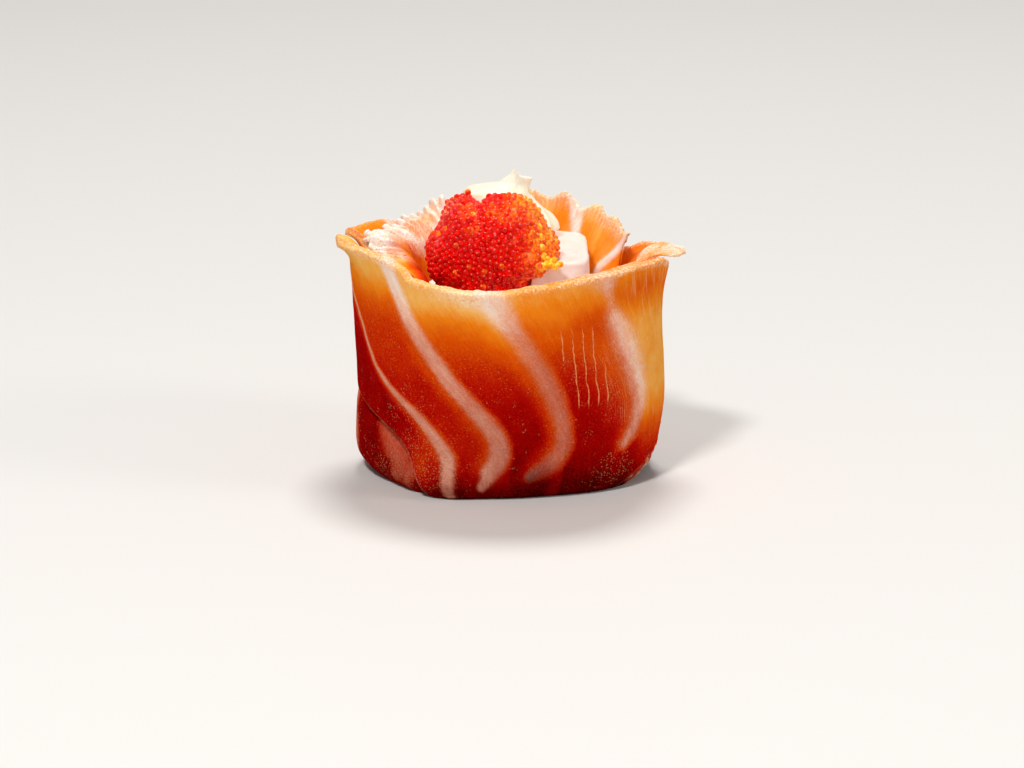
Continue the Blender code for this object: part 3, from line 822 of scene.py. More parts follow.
def front_tone(a, s, flow):
    """Dark red at the foot, orange and then pale towards the rim, the foot partly painted shade and the top partly
    painted light; redder on the left, more orange on the right.
    """
    part = flow - np.floor(flow)
    tone = 0.0165 * s + 0.25 * smooth(s, 15.0, 31.0) + 0.035 * bell(s, 7.0, 4.0)
    second = smooth(flow, 0.95, 1.1) * (1 - smooth(flow, 1.85, 2.15))
    first = 1 - smooth(flow, 0.85, 1.05)
    third = smooth(flow, 1.9, 2.1) * (1 - smooth(flow, 2.9, 3.1))
    fourth = smooth(flow, 2.9, 3.1) * (1 - smooth(flow, 3.85, 4.1))
    last = smooth(flow, 3.85, 4.1)
    tone = tone + second * (0.16 * bell(s, 8.0, 6.5) - 0.17 * bell(s, 27.0, 5.0))
    tone = tone - first * (0.28 * bell(s, 24.0, 9.0) + 0.10 * bell(s, 34.0, 5.0))
    tone = tone + third * (0.10 * smooth(part, 0.6, 0.95) + 0.09 * bell(s, 29.5, 2.4))
    tone = tone + fourth * smooth(part, 0.35, 0.75) * (0.17 * bell(s, 16.0, 6.5) - 0.12 * bell(s, 26.5, 3.0) + 0.05 * bell(s, 6.0, 3.0))
    # painted light: the upper left, just under the rim, is painted lighter
    tone = tone + 0.08 * bell(a, -62.0, 20.0) * smooth(s, 24, 30)
    # speckled, browner flesh low on the left
    tone = tone + 0.30 * bell(a, -38.0, 8.0) * bell(s, 5.0, 4.0)
    # the cut right end is pale nearly all the way down, a little more orange just under the rim
    return tone + last * (0.05 + 0.74 * smooth(s, -2.0, 15.5) - 0.18 * bell(s, 30.0, 3.5) - tone)


def make_front():
    points, i = slab(
        384, 112, even_rows, front_end, front_right, front_foot, FRONT_RIM, front_wall,
        lambda a, s: np.zeros_like(a), front_thick, front_fray,
    )
    a, s, w = i["a"], i["s"], i["w"]
    x = a * ARC
    flow = front_flow(a, s)
    part = flow - np.floor(flow)
    across = 15.0 * flow
    fat, halo = fat_lines(x, s, FRONT_FAT[:3])
    # the third line is thin below the rim, and the fourth is a soft, broad band
    third = smooth(flow, 2.35, 2.6) * (1 - smooth(flow, 3.4, 3.65))
    fat = fat * (1 - 0.34 * third * (1 - smooth(s, 24.5, 28.5)))
    broad, beside = fat_lines(x, s, FRONT_FAT[3:], power=1.7)
    fat, halo = np.maximum(fat, 0.86 * broad), np.maximum(halo, beside)
    within, _ = fat_lines(x + 0.6, s, FRONT_FAT, 0.8, 0.6)
    fat = np.where(w > 0.5, within, fat)
    # the line furthest right fades where it nears the rim
    fat = fat * (1 - 0.5 * bell(s, 29.2, 2.0) * smooth(a, 28, 36))
    milk = 0.10 * smooth(a, 32, 42) + 0.34 * (1 - smooth(s, 3, 9)) * (1 - smooth(a, -14, 2)) + 0.10 * bell(a, -40.0, 30.0) - 0.08 * bell(a, 16.0, 12.0)

    tone = front_tone(a, s, flow)
    tone = tone + halo * np.clip(0.52 - tone, 0.0, 0.3) * 0.75 * smooth(s, 2, 7)
    tone = np.where(w > 0.5, 0.45 + 0.35 * smooth(s, 20, 34), tone)
    pinkish = bell(a, -14.0, 13.0) * smooth(-i["below"], -3.6, -0.8)
    tone = np.clip(tone + 0.12 * pinkish, 0.0, 1.0)

    rim = smooth(-i["below"], -0.85, -0.10) * (0.66 + 0.30 * noise(x / 1.9, 2.0 * w, 0.0, 21))
    # right of the middle the rim is a band of moist, speckled flesh with a dark line along its inner edge
    band = smooth(-i["below"], -1.35, -0.85) * (0.45 + 0.55 * smooth(a, -2, 12) + 0.4 * bell(a, -56.0, 16.0))
    rim = np.maximum(rim, band * (0.66 + 0.34 * noise(x / 0.8, s / 0.6, 0.0, 24)))
    line = bell(w, 0.74, 0.15) * smooth(-i["below"], -0.7, -0.3) * smooth(a, 2, 14)
    tone = tone * (1 - 0.45 * line)
    rim = rim * (1 - line)
    rim = np.maximum(rim, 0.50 * pinkish)
    end = 1.0 - smooth((front_right(s) - a) * ARC, 0.1, 0.9)
    cut = 1.0 - smooth(np.abs(beyond(a.ravel(), s.ravel(), front_left).reshape(a.shape)), 0.05, 0.45)
    frayed = 1.0 - smooth((front_right(s) - a) * ARC, 0.2, 1.9 + 0.9 * noise(s / 1.1, x / 2.0, 0.0, 22))
    pale = np.clip(np.maximum(np.maximum(rim, 0.6 * frayed * (1 - smooth(s, 9, 12))), np.maximum(0.8 * end * smooth(s, 7, 13), 0.12 * cut)), 0.0, 1.0)
    # the torn corner low on the right
    torn = (1.0 - smooth((front_right(s) - a) * ARC, 0.8, 4.2)) * (1 - smooth(s, 7.0, 11.0)) * (w < 0.9)
    pale = np.clip(np.maximum(pale, 0.8 * torn * smooth(noise(x / 1.1, s / 1.6, 0.0, 25), 0.05, 0.4)), 0.0, 1.0)
    # five upright cracks, ordered by how far they are across
    lane = (x - 0.2 * (26.5 - s) - 6.9) / 1.62 + 0.5
    crack = smooth(lane, 0.0, 0.2) * (1 - smooth(lane, 4.8, 5.0)) * smooth(s, 13.6, 15.0) * (1 - smooth(s, 24.6, 26.4))
    crack = crack * np.where(lane < 1.0, smooth(s, 19.5, 21), 1.0) * np.where(lane > 4.0, 1 - smooth(s, 19.0, 20.5), 1.0)
    beads = 0.08 + 0.75 * bell(a, -34.0, 15.0) * bell(s, 5.0, 5.0) + 1.0 * bell(a, 50.0, 9.0) * bell(s, 3.8, 3.2)
    beads = beads + 0.45 * bell(a, 44.0, 9.0) * bell(s, 15.0, 5.0) + 0.1 * bell(a, 0.0, 14.0) * bell(s, 19.0, 6.0)
    beads = beads + 0.5 * bell(a, -45.0, 12.0) * bell(s, 13.0, 4.0) + 0.5 * bell(a, -36.0, 9.0) * bell(s, 4.5, 4.0)
    beads = beads + 0.35 * bell(a, 30.0, 12.0) * bell(s, 19.0, 4.0)
    thread = smooth(flow, 3.45, 3.8) * smooth(s, 9, 13) * (1 - smooth(s, 20, 25)) * 0.7 + smooth(flow, 4.05, 4.3) * smooth(s, 6, 11) + 0.25 * smooth(s, 25, 30)

    height = flesh_relief(across, s, w > 0.5, 31) + 0.06 * fat
    tufts = smooth(-i["below"], -1.1, 0.0)
    tufts = tufts * (0.7 + 0.6 * smooth(a, 0, 12))
    height = height + tufts * (0.045 * noise(x / 0.42, s / 0.5, w * 3.0, 33) + 0.03 * noise(x / 0.24, s / 0.3, w * 5.0, 34))
    height = height + torn * (0.20 * noise(x / 0.9, s / 1.0, w * 2.0, 35) + 0.10 * noise(x / 0.4, s / 0.45, w * 4.0, 36))
    height = height * smooth(s, 0.0, 1.5)
    points = displaced(points, i, height)
    run = np.stack([across, s, 7.0 * w], axis=-1)
    split = np.stack([lane, crack, 0 * crack], axis=-1)
    put("salmon_front_slice", points, i, {"run": run, "tone": tone, "fat": fat, "milk": milk, "pale": pale, "crack": split, "beads": beads, "thread": np.clip(thread, 0, 1)},
        "salmon_front", salmon_material("salmon_front_flesh", cracks=True))


# ----------------------------------------------------------------- back slice
BACK_TOPS = (56, 102, 146, 188, 230, 268, 300)  # azimuth of its fat lines at the rim
BACK_LEANS = (22, 24, 30, 36, 44, 52, 50)  # how far each has moved on at the hook


def back_lean(s):
    """0 at the rim, 1 where the lines hook back."""
    return 1.0 - smooth(s, 4.0, 36.0) ** 0.85


def back_line(k, half):
    table = []
    for s in (36.0, 31.0, 26.0, 21.0, 16.0, 12.0, 8.5, 6.0):
        table.append((s, BACK_TOPS[k] + BACK_LEANS[k] * float(back_lean(s)), half * (0.85 + 0.3 * float(back_lean(s)))))
    s, a, h = table[-1]
    table += [(3.6, a - 4.0, h), (1.2, a - 9.0, 0.7 * h)]
    return tuple(table)


BACK_THIN = ((68, 0.30), (84, 0.22), (108, 0.24), (124, 0.50), (150, 0.75), (215, 0.75), (232, 0.46), (262, 0.42), (280, 0.6), (330, 0.6))
BACK_FAT = tuple(back_line(k, 1.3 + 0.25 * math.sin(2.0 * k)) for k in range(1, 6)) + (
    # the wide pale end that shows below the front slice's cut corner
    ((14.0, 292.0, 0.3), (11.5, 295.0, 0.9), (9.5, 299.0, 1.9), (7.5, 303.5, 3.0), (5.5, 307.0, 3.6), (4.0, 308.0, 3.2), (2.6, 306.0, 2.0), (1.6, 302.0, 0.8)),
)


def back_flow(a, s):
    xs = [top + lean * back_lean(s) for top, lean in zip(BACK_TOPS, BACK_LEANS)]
    flow = np.zeros_like(a)
    for k in range(len(xs) - 1):
        flow = np.where(a >= xs[k], k + np.clip((a - xs[k]) / np.maximum(xs[k + 1] - xs[k], 1.0), 0.0, 1.0), flow)
    return flow + 6.0


def back_fray(a, w):
    x = a * ARC
    smooth_lip = 1.0 - 0.75 * (bell(a, 92.0, 18.0) + bell(a, 250.0, 18.0))
    return smooth_lip * (0.18 * noise(x / 1.4, 1.5 * w, 0.0, 41) + 0.13 * noise(x / 0.5, 2.5 * w, 0.0, 42))


def back_thick(a, s):
    return (depth_back(a, s) - GAP) * thinned(a, s, BACK_RIM, BACK_THIN)


def back_tone(a, s, flow):
    part = flow - np.floor(flow)
    # darker at the foot and paler towards the rim, partly painted shade and painted light
    tone = 0.02 * s + 0.14 * smooth(s, 18.0, 31.0)
    tone = tone + 0.14 * smooth(part, 0.45, 0.95) * smooth(s, 3, 12) - 0.05 * bell(part, 0.15, 0.14) * smooth(s, 3, 9)
    # the side that faces the front slice's left end is deep red, the right side more orange
    tone = tone - 0.15 * bell(a, 276.0, 20.0) * bell(s, 22.0, 9.0)
    return tone + 0.14 * bell(a, 84.0, 28.0) * smooth(s, 6, 12) * (1 - smooth(s, 24, 31))


def make_back():
    points, i = slab(
        396, 108, even_rows, back_right, back_left, on_board, BACK_RIM, back_wall,
        lambda a, s: depth_front(a, s) * (1.0 - right_side(a)), back_thick, back_fray,
    )
    a, s, w = i["a"], i["s"], i["w"]
    x = a * ARC
    flow = back_flow(a, s)
    across = 15.0 * flow
    fat, halo = fat_lines(x, s, BACK_FAT)
    within, _ = fat_lines(x + 0.6, s, BACK_FAT[:-1], 0.9, 0.8)
    fat = np.where(w > 0.5, within, fat)
    milk = 0.10 + 0.26 * (1 - smooth(s, 3, 9)) * (1 - smooth(a, 282, 290)) - 0.06 * smooth(a, 284, 292)

    tone = back_tone(a, s, flow)
    tone = tone + halo * np.clip(0.52 - tone, 0.0, 0.3) * 0.75 * smooth(s, 2, 7) * (1 - smooth(a, 280, 288))
    under = smooth(a, 262, 280) * (1 - smooth(s, 12, 20))
    tone = np.where(w > 0.5, 0.60 + 0.08 * smooth(s, 26, 34), tone * (1 - under) + under * (0.11 + 0.20 * fat))
    milk = milk - 0.10 * under + 0.5 * bell(a, 92.0, 15.0) * smooth(s, 27.0, 30.0)
    fat = fat * (1 - 0.48 * under * (w < 0.5))
    leaf = bell(a, 92.0, 15.0) * smooth(s, 27.0, 30.0)
    tone = np.clip(tone + 0.06 * leaf, 0.0, 1.0)

    rim = smooth(-i["below"], -1.1, -0.1) * (0.72 + 0.28 * noise(x / 2.3, 0.0, 0.0, 51))
    lip = 0.78 * leaf * np.clip(0.48 + 0.8 * noise(x / 7.0, i["below"] / 0.5, 0.0, 52) + 0.7 * bell(a, 86.0, 5.0) * (w > 0.5), 0.0, 1.0)
    lobe = 0.35 * bell(a, 250.0, 14.0) * smooth(-i["below"], -1.6, -0.4)
    # painted shade: where the back slice runs on hidden between the other slices, its upper part is painted darker,
    # without pale rim or fat
    hidden = smooth(a, 296, 306)
    pale = np.clip(np.maximum(rim * (1 - 0.5 * bell(a, 250.0, 14.0)), np.maximum(lip, lobe)), 0.0, 1.0) * (1 - hidden)
    tone = tone * (1 - 0.7 * hidden * smooth(s, 22, 27))
    fat = fat * (1 - hidden * smooth(s, 18, 24))
    beads = 0.10 + 0.3 * noise(x / 8.0, s / 6.0, 0.0, 53) + 1.0 * bell(a, 300.0, 14.0) * bell(s, 2.2, 3.0)
    thread = 0.8 * bell(a, 84.0, 26.0) * smooth(s, 7, 12) * (1 - smooth(s, 24, 30)) + 0.25 * smooth(s, 25, 30)

    height = flesh_relief(across, s, w > 0.5, 61) + 0.05 * fat
    ridges = smooth(s, 27.5, 31) * (w > 0.3) * (bell(a, 98.0, 20.0) + 0.3 * bell(a, 244.0, 20.0))
    height = height + ridges * 0.05 * noise(a * ARC / 7.0, i["below"] / 0.6, 0.0, 63)
    lips = bell(a, 92.0, 20.0) + bell(a, 250.0, 20.0)
    tufts = smooth(-i["below"], -1.1, 0.0) * (1 - 0.8 * lips)
    height = height + tufts * 0.06 * noise(x / 0.42, s / 0.5, w * 3.0, 64)
    height = height * smooth(s, 0.0, 1.5)
    points = displaced(points, i, height)
    run = np.stack([across, s, 7.0 * w + 20.0], axis=-1)
    put("salmon_back_slice", points, i, {"run": run, "tone": tone, "fat": fat, "milk": milk, "pale": pale, "beads": np.clip(beads, 0.0, 1.0), "thread": thread},
        "salmon_back", salmon_material("salmon_back_flesh", grainy=0.8))


# ----------------------------------------------------------------- inner slice
def inner_end(s):
    return 124.0 - 10.0 * smooth(s, 22.0, 28.0) - 4.0 * smooth(s, 31.2, 34.0)


def fan(a):
    return smooth(a, 99, 104) * (1 - smooth(a, 196, 214))


def frill(a):
    return smooth(a, 196, 214) * (1 - smooth(a, 300, 309))


INNER_THIN = ((98, 0.30), (112, 0.34), (150, 0.38), (196, 0.42), (214, 0.46), (290, 0.46), (304, 0.36), (332, 0.34))


def teeth(a):
    """Sharp little teeth along the fan's rim, -1 to 1, of uneven width."""
    x = a * ARC
    way = x / 0.78 + 0.55 * noise(x / 1.9, 0.0, 0.0, 71)
    f = way % 1.0
    return 1.0 - 2.0 * np.where(f < 0.72, f / 0.72, (1.0 - f) / 0.28) ** 1.2


def flutes(a, s):
    """The frill's ruffles, about 1.4 mm apart, -1 to 1."""
    x = a * ARC
    return np.sin(2 * np.pi * (x / 1.36 + 0.46 * noise(x / 2.1, s / 5.0, 0.0, 72)))


def inner_fray(a, w):
    x = a * ARC
    out = fan(a) * (0.20 * teeth(a) + 0.24 * noise(x / 2.3, 0.0, 0.0, 70) + 0.07 * noise(x / 0.42, 2.0 * w, 0.0, 73))
    out = out + frill(a) * (0.20 * flutes(a, 34.0) + 0.30 * noise(x / 1.7, w, 0.0, 74) + 0.18 * noise(x / 0.6, 2.0 * w, 0.0, 77))
    return out + 0.04 * noise(x / 0.5, 2.0 * w, 0.0, 75)


def inner_depth(a, s):
    start = smooth(beyond(wrap(a, 48.0), s, inner_end), *THIN_EDGE)
    end = smooth(-beyond(wrap(a, 48.0), s, inner_left), *THIN_TAIL)
    return LAYER * start * end


def inner_thick(a, s):
    return np.maximum((inner_depth(a, s) - GAP) * thinned(a, s, INNER_RIM, INNER_THIN), 0.28)


INNER_FAT = (
    ((38.5, 150.0, 1.7), (36.4, 148.0, 1.35), (33, 145, 1.2), (30, 143, 1.0), (26, 140, 0.8), (20, 136, 0.6)),
    ((38, 108.5, 0.5), (33.8, 111.5, 0.6), (31.5, 115, 0.75), (29.2, 120.0, 0.75), (27.5, 124, 0.7), (24, 129, 0.6)),
    ((39, 197, 1.3), (34, 193, 1.1), (30, 189, 1.0), (22, 182, 1.0)),
)


def make_inner():
    points, i = slab(
        560, 70, top_rows, inner_end, inner_left, on_board, INNER_RIM, inner_wall,
        lambda a, s: np.zeros_like(a), inner_thick, inner_fray,
    )
    a, s, w = i["a"], i["s"], i["w"]
    x = a * ARC
    # the run of the flesh spreads like a fan towards the rim
    across = x * (0.75 + 0.012 * s) + 0.25 * s
    fat, _ = fat_lines(x, s, INNER_FAT, 0.9, 0.7)
    # darker at the foot and paler towards the rim, partly painted shade and painted light
    tone = 0.16 + 0.01 * s + 0.26 * smooth(s, 16.0, 30.0)
    # the wall behind the frill goes from orange to a deep red beside the roe
    deep = smooth(a, 226, 256) * (1 - smooth(s - 1.6 * smooth(a, 300, 312), 29.5, 33.5))
    tone = tone - (0.20 + 0.22 * smooth(a, 262, 290)) * deep
    tone = tone + 0.05 * fan(a) * noise(x / 1.2, s / 6.0, 0.0, 84)

    reach = np.clip(1.0 - i["below"] / 7.5, 0.0, 1.0)
    rim = smooth(-i["below"], -1.0, -0.15) * (0.75 + 0.25 * noise(x / 0.9, 0.0, 0.0, 85))
    rays = smooth(np.sin(2 * np.pi * (x / 0.78 + 0.55 * noise(x / 1.9, 0.0, 0.0, 71))), 0.1, 0.9)
    dips = smooth(noise(x / 2.6, s / 2.2, 0.0, 91) + 0.5 * bell(a, 222.0, 7.0) * bell(i["below"], 2.2, 1.6), 0.05, 0.55) * smooth(i["below"], 0.5, 1.3)
    white = frill(a) * smooth(reach - 0.36 * smooth(a, 224, 250), 0.0, 0.42) * np.clip(0.92 + 0.30 * noise(x / 1.6, s / 1.8, 0.0, 86) + 0.14 * flutes(a, s), 0.0, 1.0) * (1 - 0.6 * dips)
    pale = np.maximum(0.75 * rim, white)
    pale = np.maximum(pale, fan(a) * (0.34 * rays + 0.30) * smooth(reach, 0.66, 0.98))
    pale = pale * (1 - smooth(a, 309, 318))
    pale = np.clip(pale, 0.0, 1.0)
    beads = 0.04 + 0.5 * frill(a) * smooth(reach, 0.2, 0.6) + 0.2 * bell(a, 262.0, 18.0)

    side = np.where(w > 0.5, 1.0, -1.0)
    face = side * (1.0 - bell(w, 0.5, 0.16))
    height = flesh_relief(across, s, w > 0.5, 81)
    # the fan and the frill are ruffled as a whole: both faces move the same way
    sway = fan(a) * reach**1.6 * (0.08 * np.sin(2 * np.pi * (x / 0.78 + 0.55 * noise(x / 1.9, 0.0, 0.0, 71))) + 0.30 * noise(x / 2.6, s / 5.0, 0.0, 90))
    sway = sway + frill(a) * reach**1.1 * (0.30 * flutes(a, s) + 0.26 * noise(x / 1.9, s / 2.2, 0.0, 82) + 0.14 * noise(x / 0.7, s / 0.9, 0.0, 87))
    height = height + sway * face
    curdle = frill(a) * smooth(reach, 0.1, 0.5) * (0.15 * noise(x / 0.55, s / 0.7, w * 3.0, 88) + 0.10 * noise(x / 0.3, s / 0.35, w * 5.0, 89))
    height = height + curdle
    tufts = smooth(-i["below"], -1.4, 0.0)
    height = height + tufts * (0.06 + 0.06 * frill(a)) * noise(x / 0.4, s / 0.45, w * 3.0, 83)
    height = height * smooth(s, 0.0, 1.5)
    points = displaced(points, i, height)
    run = np.stack([across, s, 7.0 * w + 40.0], axis=-1)
    milk = 0.12 + 0.9 * frill(a) * smooth(reach, 0.0, 0.5) + 0.45 * fan(a)
    put("salmon_inner_slice", points, i, {"run": run, "tone": np.clip(tone, 0, 1), "fat": fat * (1 - 0.6 * frill(a)), "milk": milk, "pale": pale, "beads": beads, "thread": 0.2 * smooth(s, 24, 30)},
        "salmon_inner", salmon_material("salmon_inner_flesh", streaks=0.022, glow=0.3, grainy=0.12))


# ================================================================= filling
def block_radius(a):
    t = np.radians(a)
    x, y = np.sin(t), -np.cos(t)
    sx = np.where(x > 0, BLOCK_RIGHT, -BLOCK_LEFT)
    sy = np.where(y > 0, BLOCK_BACK, -BLOCK_FRONT)
    return (np.abs(x / sx) ** BLOCK_SQUARE + np.abs(y / sy) ** BLOCK_SQUARE) ** (-1.0 / BLOCK_SQUARE)


def filling_radius(a, z):
    room = np.full_like(a, 99.0)
    for shift in (-9.0, -4.5, 0.0, 4.5, 9.0):
        b = a + shift
        here = body_radius(b, z) - depth_front(b, z) - depth_back(b, z) - depth_inner(b, z) - along(wrap(b, 90.0), INNER_CURL, 3)
        room = np.minimum(room, here)
    return room


def filling_top(x, y):
    dx, dy = x - ROE_CENTRE[0], y - ROE_CENTRE[1]
    dy = np.where(dy > 0, dy * ROE_RADIUS / ROE_BACK, dy)
    # on its right the hollow is narrow, and the pale flesh comes forward beside the roe to the front slice
    dx = np.where(dx > 0, dx * HOLLOW_RADIUS / HOLLOW_RIGHT, dx)
    bowl = ROE_CENTRE[2] - np.sqrt(np.maximum(0.0, HOLLOW_RADIUS**2 - dx * dx - dy * dy))
    bowl = np.clip(bowl, HOLLOW_FLOOR, FILLING_TOP)
    opening = (1.0 - smooth(y, -13.5, -7.5)) * (1.0 - smooth(x, -2.0, 1.2))
    return HOLLOW_FLOOR + (bowl - HOLLOW_FLOOR) * (1.0 - opening) - 0.35 * smooth(x, 2.0, 6.0) * smooth(-y, 6.0, 15.0)


def block_edge(a):
    t = np.radians(a)
    lo, hi = np.zeros_like(a), np.full_like(a, 40.0)
    for _ in range(30):
        mid = 0.5 * (lo + hi)
        x, y = ROE_CENTRE[0] + mid * np.sin(t), ROE_CENTRE[1] - mid * np.cos(t)
        inside = np.hypot(x, y) < block_radius(np.degrees(np.arctan2(x, -y)))
        lo, hi = np.where(inside, mid, lo), np.where(inside, hi, mid)
    return lo


def rounded(path, counts, passes):
    """Points along a path given as an array (columns, stations, 3), with counts[k] steps between stations k and k+1, then smoothed."""
    rows = [path[:, 0]]
    for k, n in enumerate(counts):
        for m in range(1, n + 1):
            rows.append(path[:, k] + (path[:, k + 1] - path[:, k]) * m / n)
    p = np.stack(rows, axis=1)
    for _ in range(passes):
        p[:, 1:-1] = 0.5 * p[:, 1:-1] + 0.25 * (p[:, 2:] + p[:, :-2])
    return p


def pole_faces(columns, rows):
    """Faces of a closed body whose grid (columns, rows) wraps round and whose first and last rows are single points. Vertices: bottom pole, then the inner rows column by column, then the top pole."""
    inner = rows - 2
    i, j = np.meshgrid(np.arange(columns), np.arange(inner - 1), indexing="ij")
    k = (i + 1) % columns
    quads = np.stack([1 + i * inner + j, 1 + k * inner + j, 1 + k * inner + j + 1, 1 + i * inner + j + 1], axis=-1).reshape(-1, 4)
    c = np.arange(columns)
    n = (c + 1) % columns
    top = 1 + columns * inner
    low = np.stack([np.zeros_like(c), 1 + n * inner, 1 + c * inner], axis=-1)
    high = np.stack([np.full_like(c, top), 1 + c * inner + inner - 1, 1 + n * inner + inner - 1], axis=-1)
    return quads, low, high


def closed_lump(name, grid, attributes, material, node):
    """A closed body from a grid (columns, rows, 3) whose first and last rows are poles."""
    columns, rows = grid.shape[:2]
    quads, low, high = pole_faces(columns, rows)
    flat = np.concatenate([grid[:1, 0], grid[:, 1:-1].reshape(-1, 3), grid[:1, -1]])
    tris = np.concatenate([quads[:, [0, 1, 2]], quads[:, [0, 2, 3]], low, high])
    tris = facing_out(flat, tris)
    pack = {}
    for key, v in attributes.items():
        if v.ndim == 3:
            pack[key] = np.concatenate([v[:1, 0], v[:, 1:-1].reshape(-1, 3), v[:1, -1]])
        else:
            pack[key] = np.concatenate([v[:1, 0], v[:, 1:-1].ravel(), v[:1, -1]])
    ob = build(name, flat, tris, pack)
    ob.data.materials.append(material)
    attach(ob, "root")
    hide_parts(node)
    return ob


def filling_material():
    p = Paint("filling_flesh")
    place = p.place()
    streak = p.noise(p.scaled(place, (1.0, 0.35, 0.5)), 0.8, 3.0, 0.6)
    cloud = p.noise(place, 3.0, 2.0, 0.5)
    fine = p.noise(place, 0.28, 2.0, 0.6)
    base = p.ramp(p.math("MULTIPLY_ADD", p.math("SUBTRACT", cloud, 0.5), 0.9, streak),
                  ((0.25, colour(240, 226, 216)), (0.42, colour(244, 235, 230)), (0.58, colour(247, 242, 242)), (0.80, colour(249, 248, 250))))
    way = p.tree.nodes.new("ShaderNodeSeparateXYZ")
    p.link(place, way.inputs[0])
    film = p.math("MULTIPLY", p.fit(way.outputs[0], -3.0, -6.0), p.fit(way.outputs[1], -1.0, -4.0))
    base = p.mix(film, base, p.ramp(streak, ((0.3, colour(206, 70, 34)), (0.7, colour(232, 132, 84)))))
    # painted shade: the block is painted darker and pinker towards its top
    base = p.mix(p.fit(way.outputs[2], 31.6, 33.0, 0.0, 0.62), base, colour(226, 192, 178))
    bead = p.cells(place, 0.8)
    spots = p.math("MULTIPLY", p.fit(bead, 0.26, 0.1), p.fit(p.noise(place, 2.0, 2.0, 0.5), 0.52, 0.62))
    relief = p.math("ADD", p.math("MULTIPLY", streak, 0.6), p.math("MULTIPLY", fine, 0.25))
    relief = p.math("ADD", relief, p.math("MULTIPLY", spots, 0.7))
    normal = p.bump(relief, 0.10, 0.7)
    wet = p.math("ADD", p.math("MULTIPLY", spots, 0.6), 0.15, clamp=True)
    b = p.bsdf.inputs
    b["IOR"].default_value = 1.38
    b["Specular IOR Level"].default_value = 0.15
    b["Subsurface Weight"].default_value = 0.5
    b["Subsurface Radius"].default_value = (1.0, 0.8, 0.7)
    b["Subsurface Scale"].default_value = 1.2 * MM
    b["Coat Roughness"].default_value = 0.12
    b["Coat IOR"].default_value = 1.36
    return p.set(Base_Color=base, Roughness=p.fit(streak, 0.3, 0.7, 0.34, 0.46), Normal=normal, Coat_Weight=wet)


def make_filling():
    columns = 288
    a = np.linspace(-180.0, 180.0, columns, endpoint=False)
    t = np.radians(a)
    zero = np.zeros_like(a)
    stations = [np.stack([zero, zero, zero], -1)]
    for z in (0.0, 3.0, 8.0, 14.0, 20.0, FILLING_SHOULDER - 1.2):
        stations.append(at(a, filling_radius(a, np.full_like(a, z)), np.full_like(a, z)))
    stations.append(at(a, filling_radius(a, np.full_like(a, FILLING_SHOULDER)) - 0.7, np.full_like(a, FILLING_SHOULDER)))
    edge = block_edge(a)
    front = np.cos(t)
    right = np.where(np.sin(t) > 0, HOLLOW_RADIUS / HOLLOW_RIGHT, 1.0)
    lip = HOLLOW_RADIUS / np.hypot(np.sin(t) * right, np.where(front > 0, front, front * ROE_RADIUS / ROE_BACK))
    lip = np.minimum(lip, edge * 0.9)
    ways = (edge, edge, edge - 0.1, edge - 0.45, 0.5 * (edge - 0.4 + lip), lip, lip * 0.93, lip * 0.75, lip * 0.45, zero)
    for k, way in enumerate(ways):
        x, y = ROE_CENTRE[0] + way * np.sin(t), ROE_CENTRE[1] - way * np.cos(t)
        top = filling_top(x, y)
        if k == 0:
            top = np.full_like(top, FILLING_SHOULDER + 0.1)
        elif k == 1:
            top = FILLING_SHOULDER + 0.1 + 0.55 * (top - FILLING_SHOULDER)
        elif k == 2:
            top = top - 0.35
        stations.append(np.stack([x, y, top], -1))
    path = np.stack(stations, axis=1)
    grid = rounded(path, (6, 5, 5, 5, 5, 5, 2, 10, 10, 10, 3, 12, 8, 5, 5, 6, 6), 3)
    n = grid_normals(grid, False)
    mid = grid.shape[1] // 2
    if (n[:, 20] * np.stack([np.sin(t), -np.cos(t), zero], -1)).sum() < 0:
        n = -n
    x, y, z = (grid[..., k] for k in range(3))
    bumps = 0.10 * layered(x / 3.0, y / 3.0, z / 9.0, 91, 2) + 0.03 * noise(x / 0.7, y / 0.7, z / 4.0, 92)
    bumps = bumps * smooth(z, 0.5, 3.0)
    bumps[:, 0] = bumps[:, -1] = 0.0
    grid = grid + n * bumps[..., None]
    closed_lump("filling_block", grid, {}, filling_material(), "filling")


# ================================================================= cream
# Stations of the dollop's outline (height, distance from the axis): its broad shoulder on the left, its steep right
# side, and the torn-off fin with a flat top between the peak and a sharp corner.
CREAM_LEFT = (
    (33.45, 0.0), (33.45, 5.9), (34.5, 7.1), (36.2, 7.6), (37.9, 7.75), (39.3, 7.4),
    (40.15, 6.6), (40.65, 5.1), (40.85, 3.4), (41.25, 1.9), (42.3, 0.72), (43.55, 0.0),
)
CREAM_RIGHT = (
    (33.45, 0.0), (33.45, 5.5), (34.2, 6.5), (35.2, 6.3), (36.3, 5.6), (37.3, 4.7),
    (38.4, 3.6), (39.5, 2.6), (40.5, 1.95), (41.4, 1.35), (42.4, 0.62), (43.55, 0.0),
)
CREAM_FIN = (
    (33.45, 0.0), (33.45, 5.5), (34.2, 6.5), (35.2, 6.3), (36.3, 5.5), (37.3, 4.5),
    (38.4, 3.4), (39.8, 2.35), (40.9, 2.5), (41.95, 2.95), (42.15, 1.15), (43.55, 0.0),
)


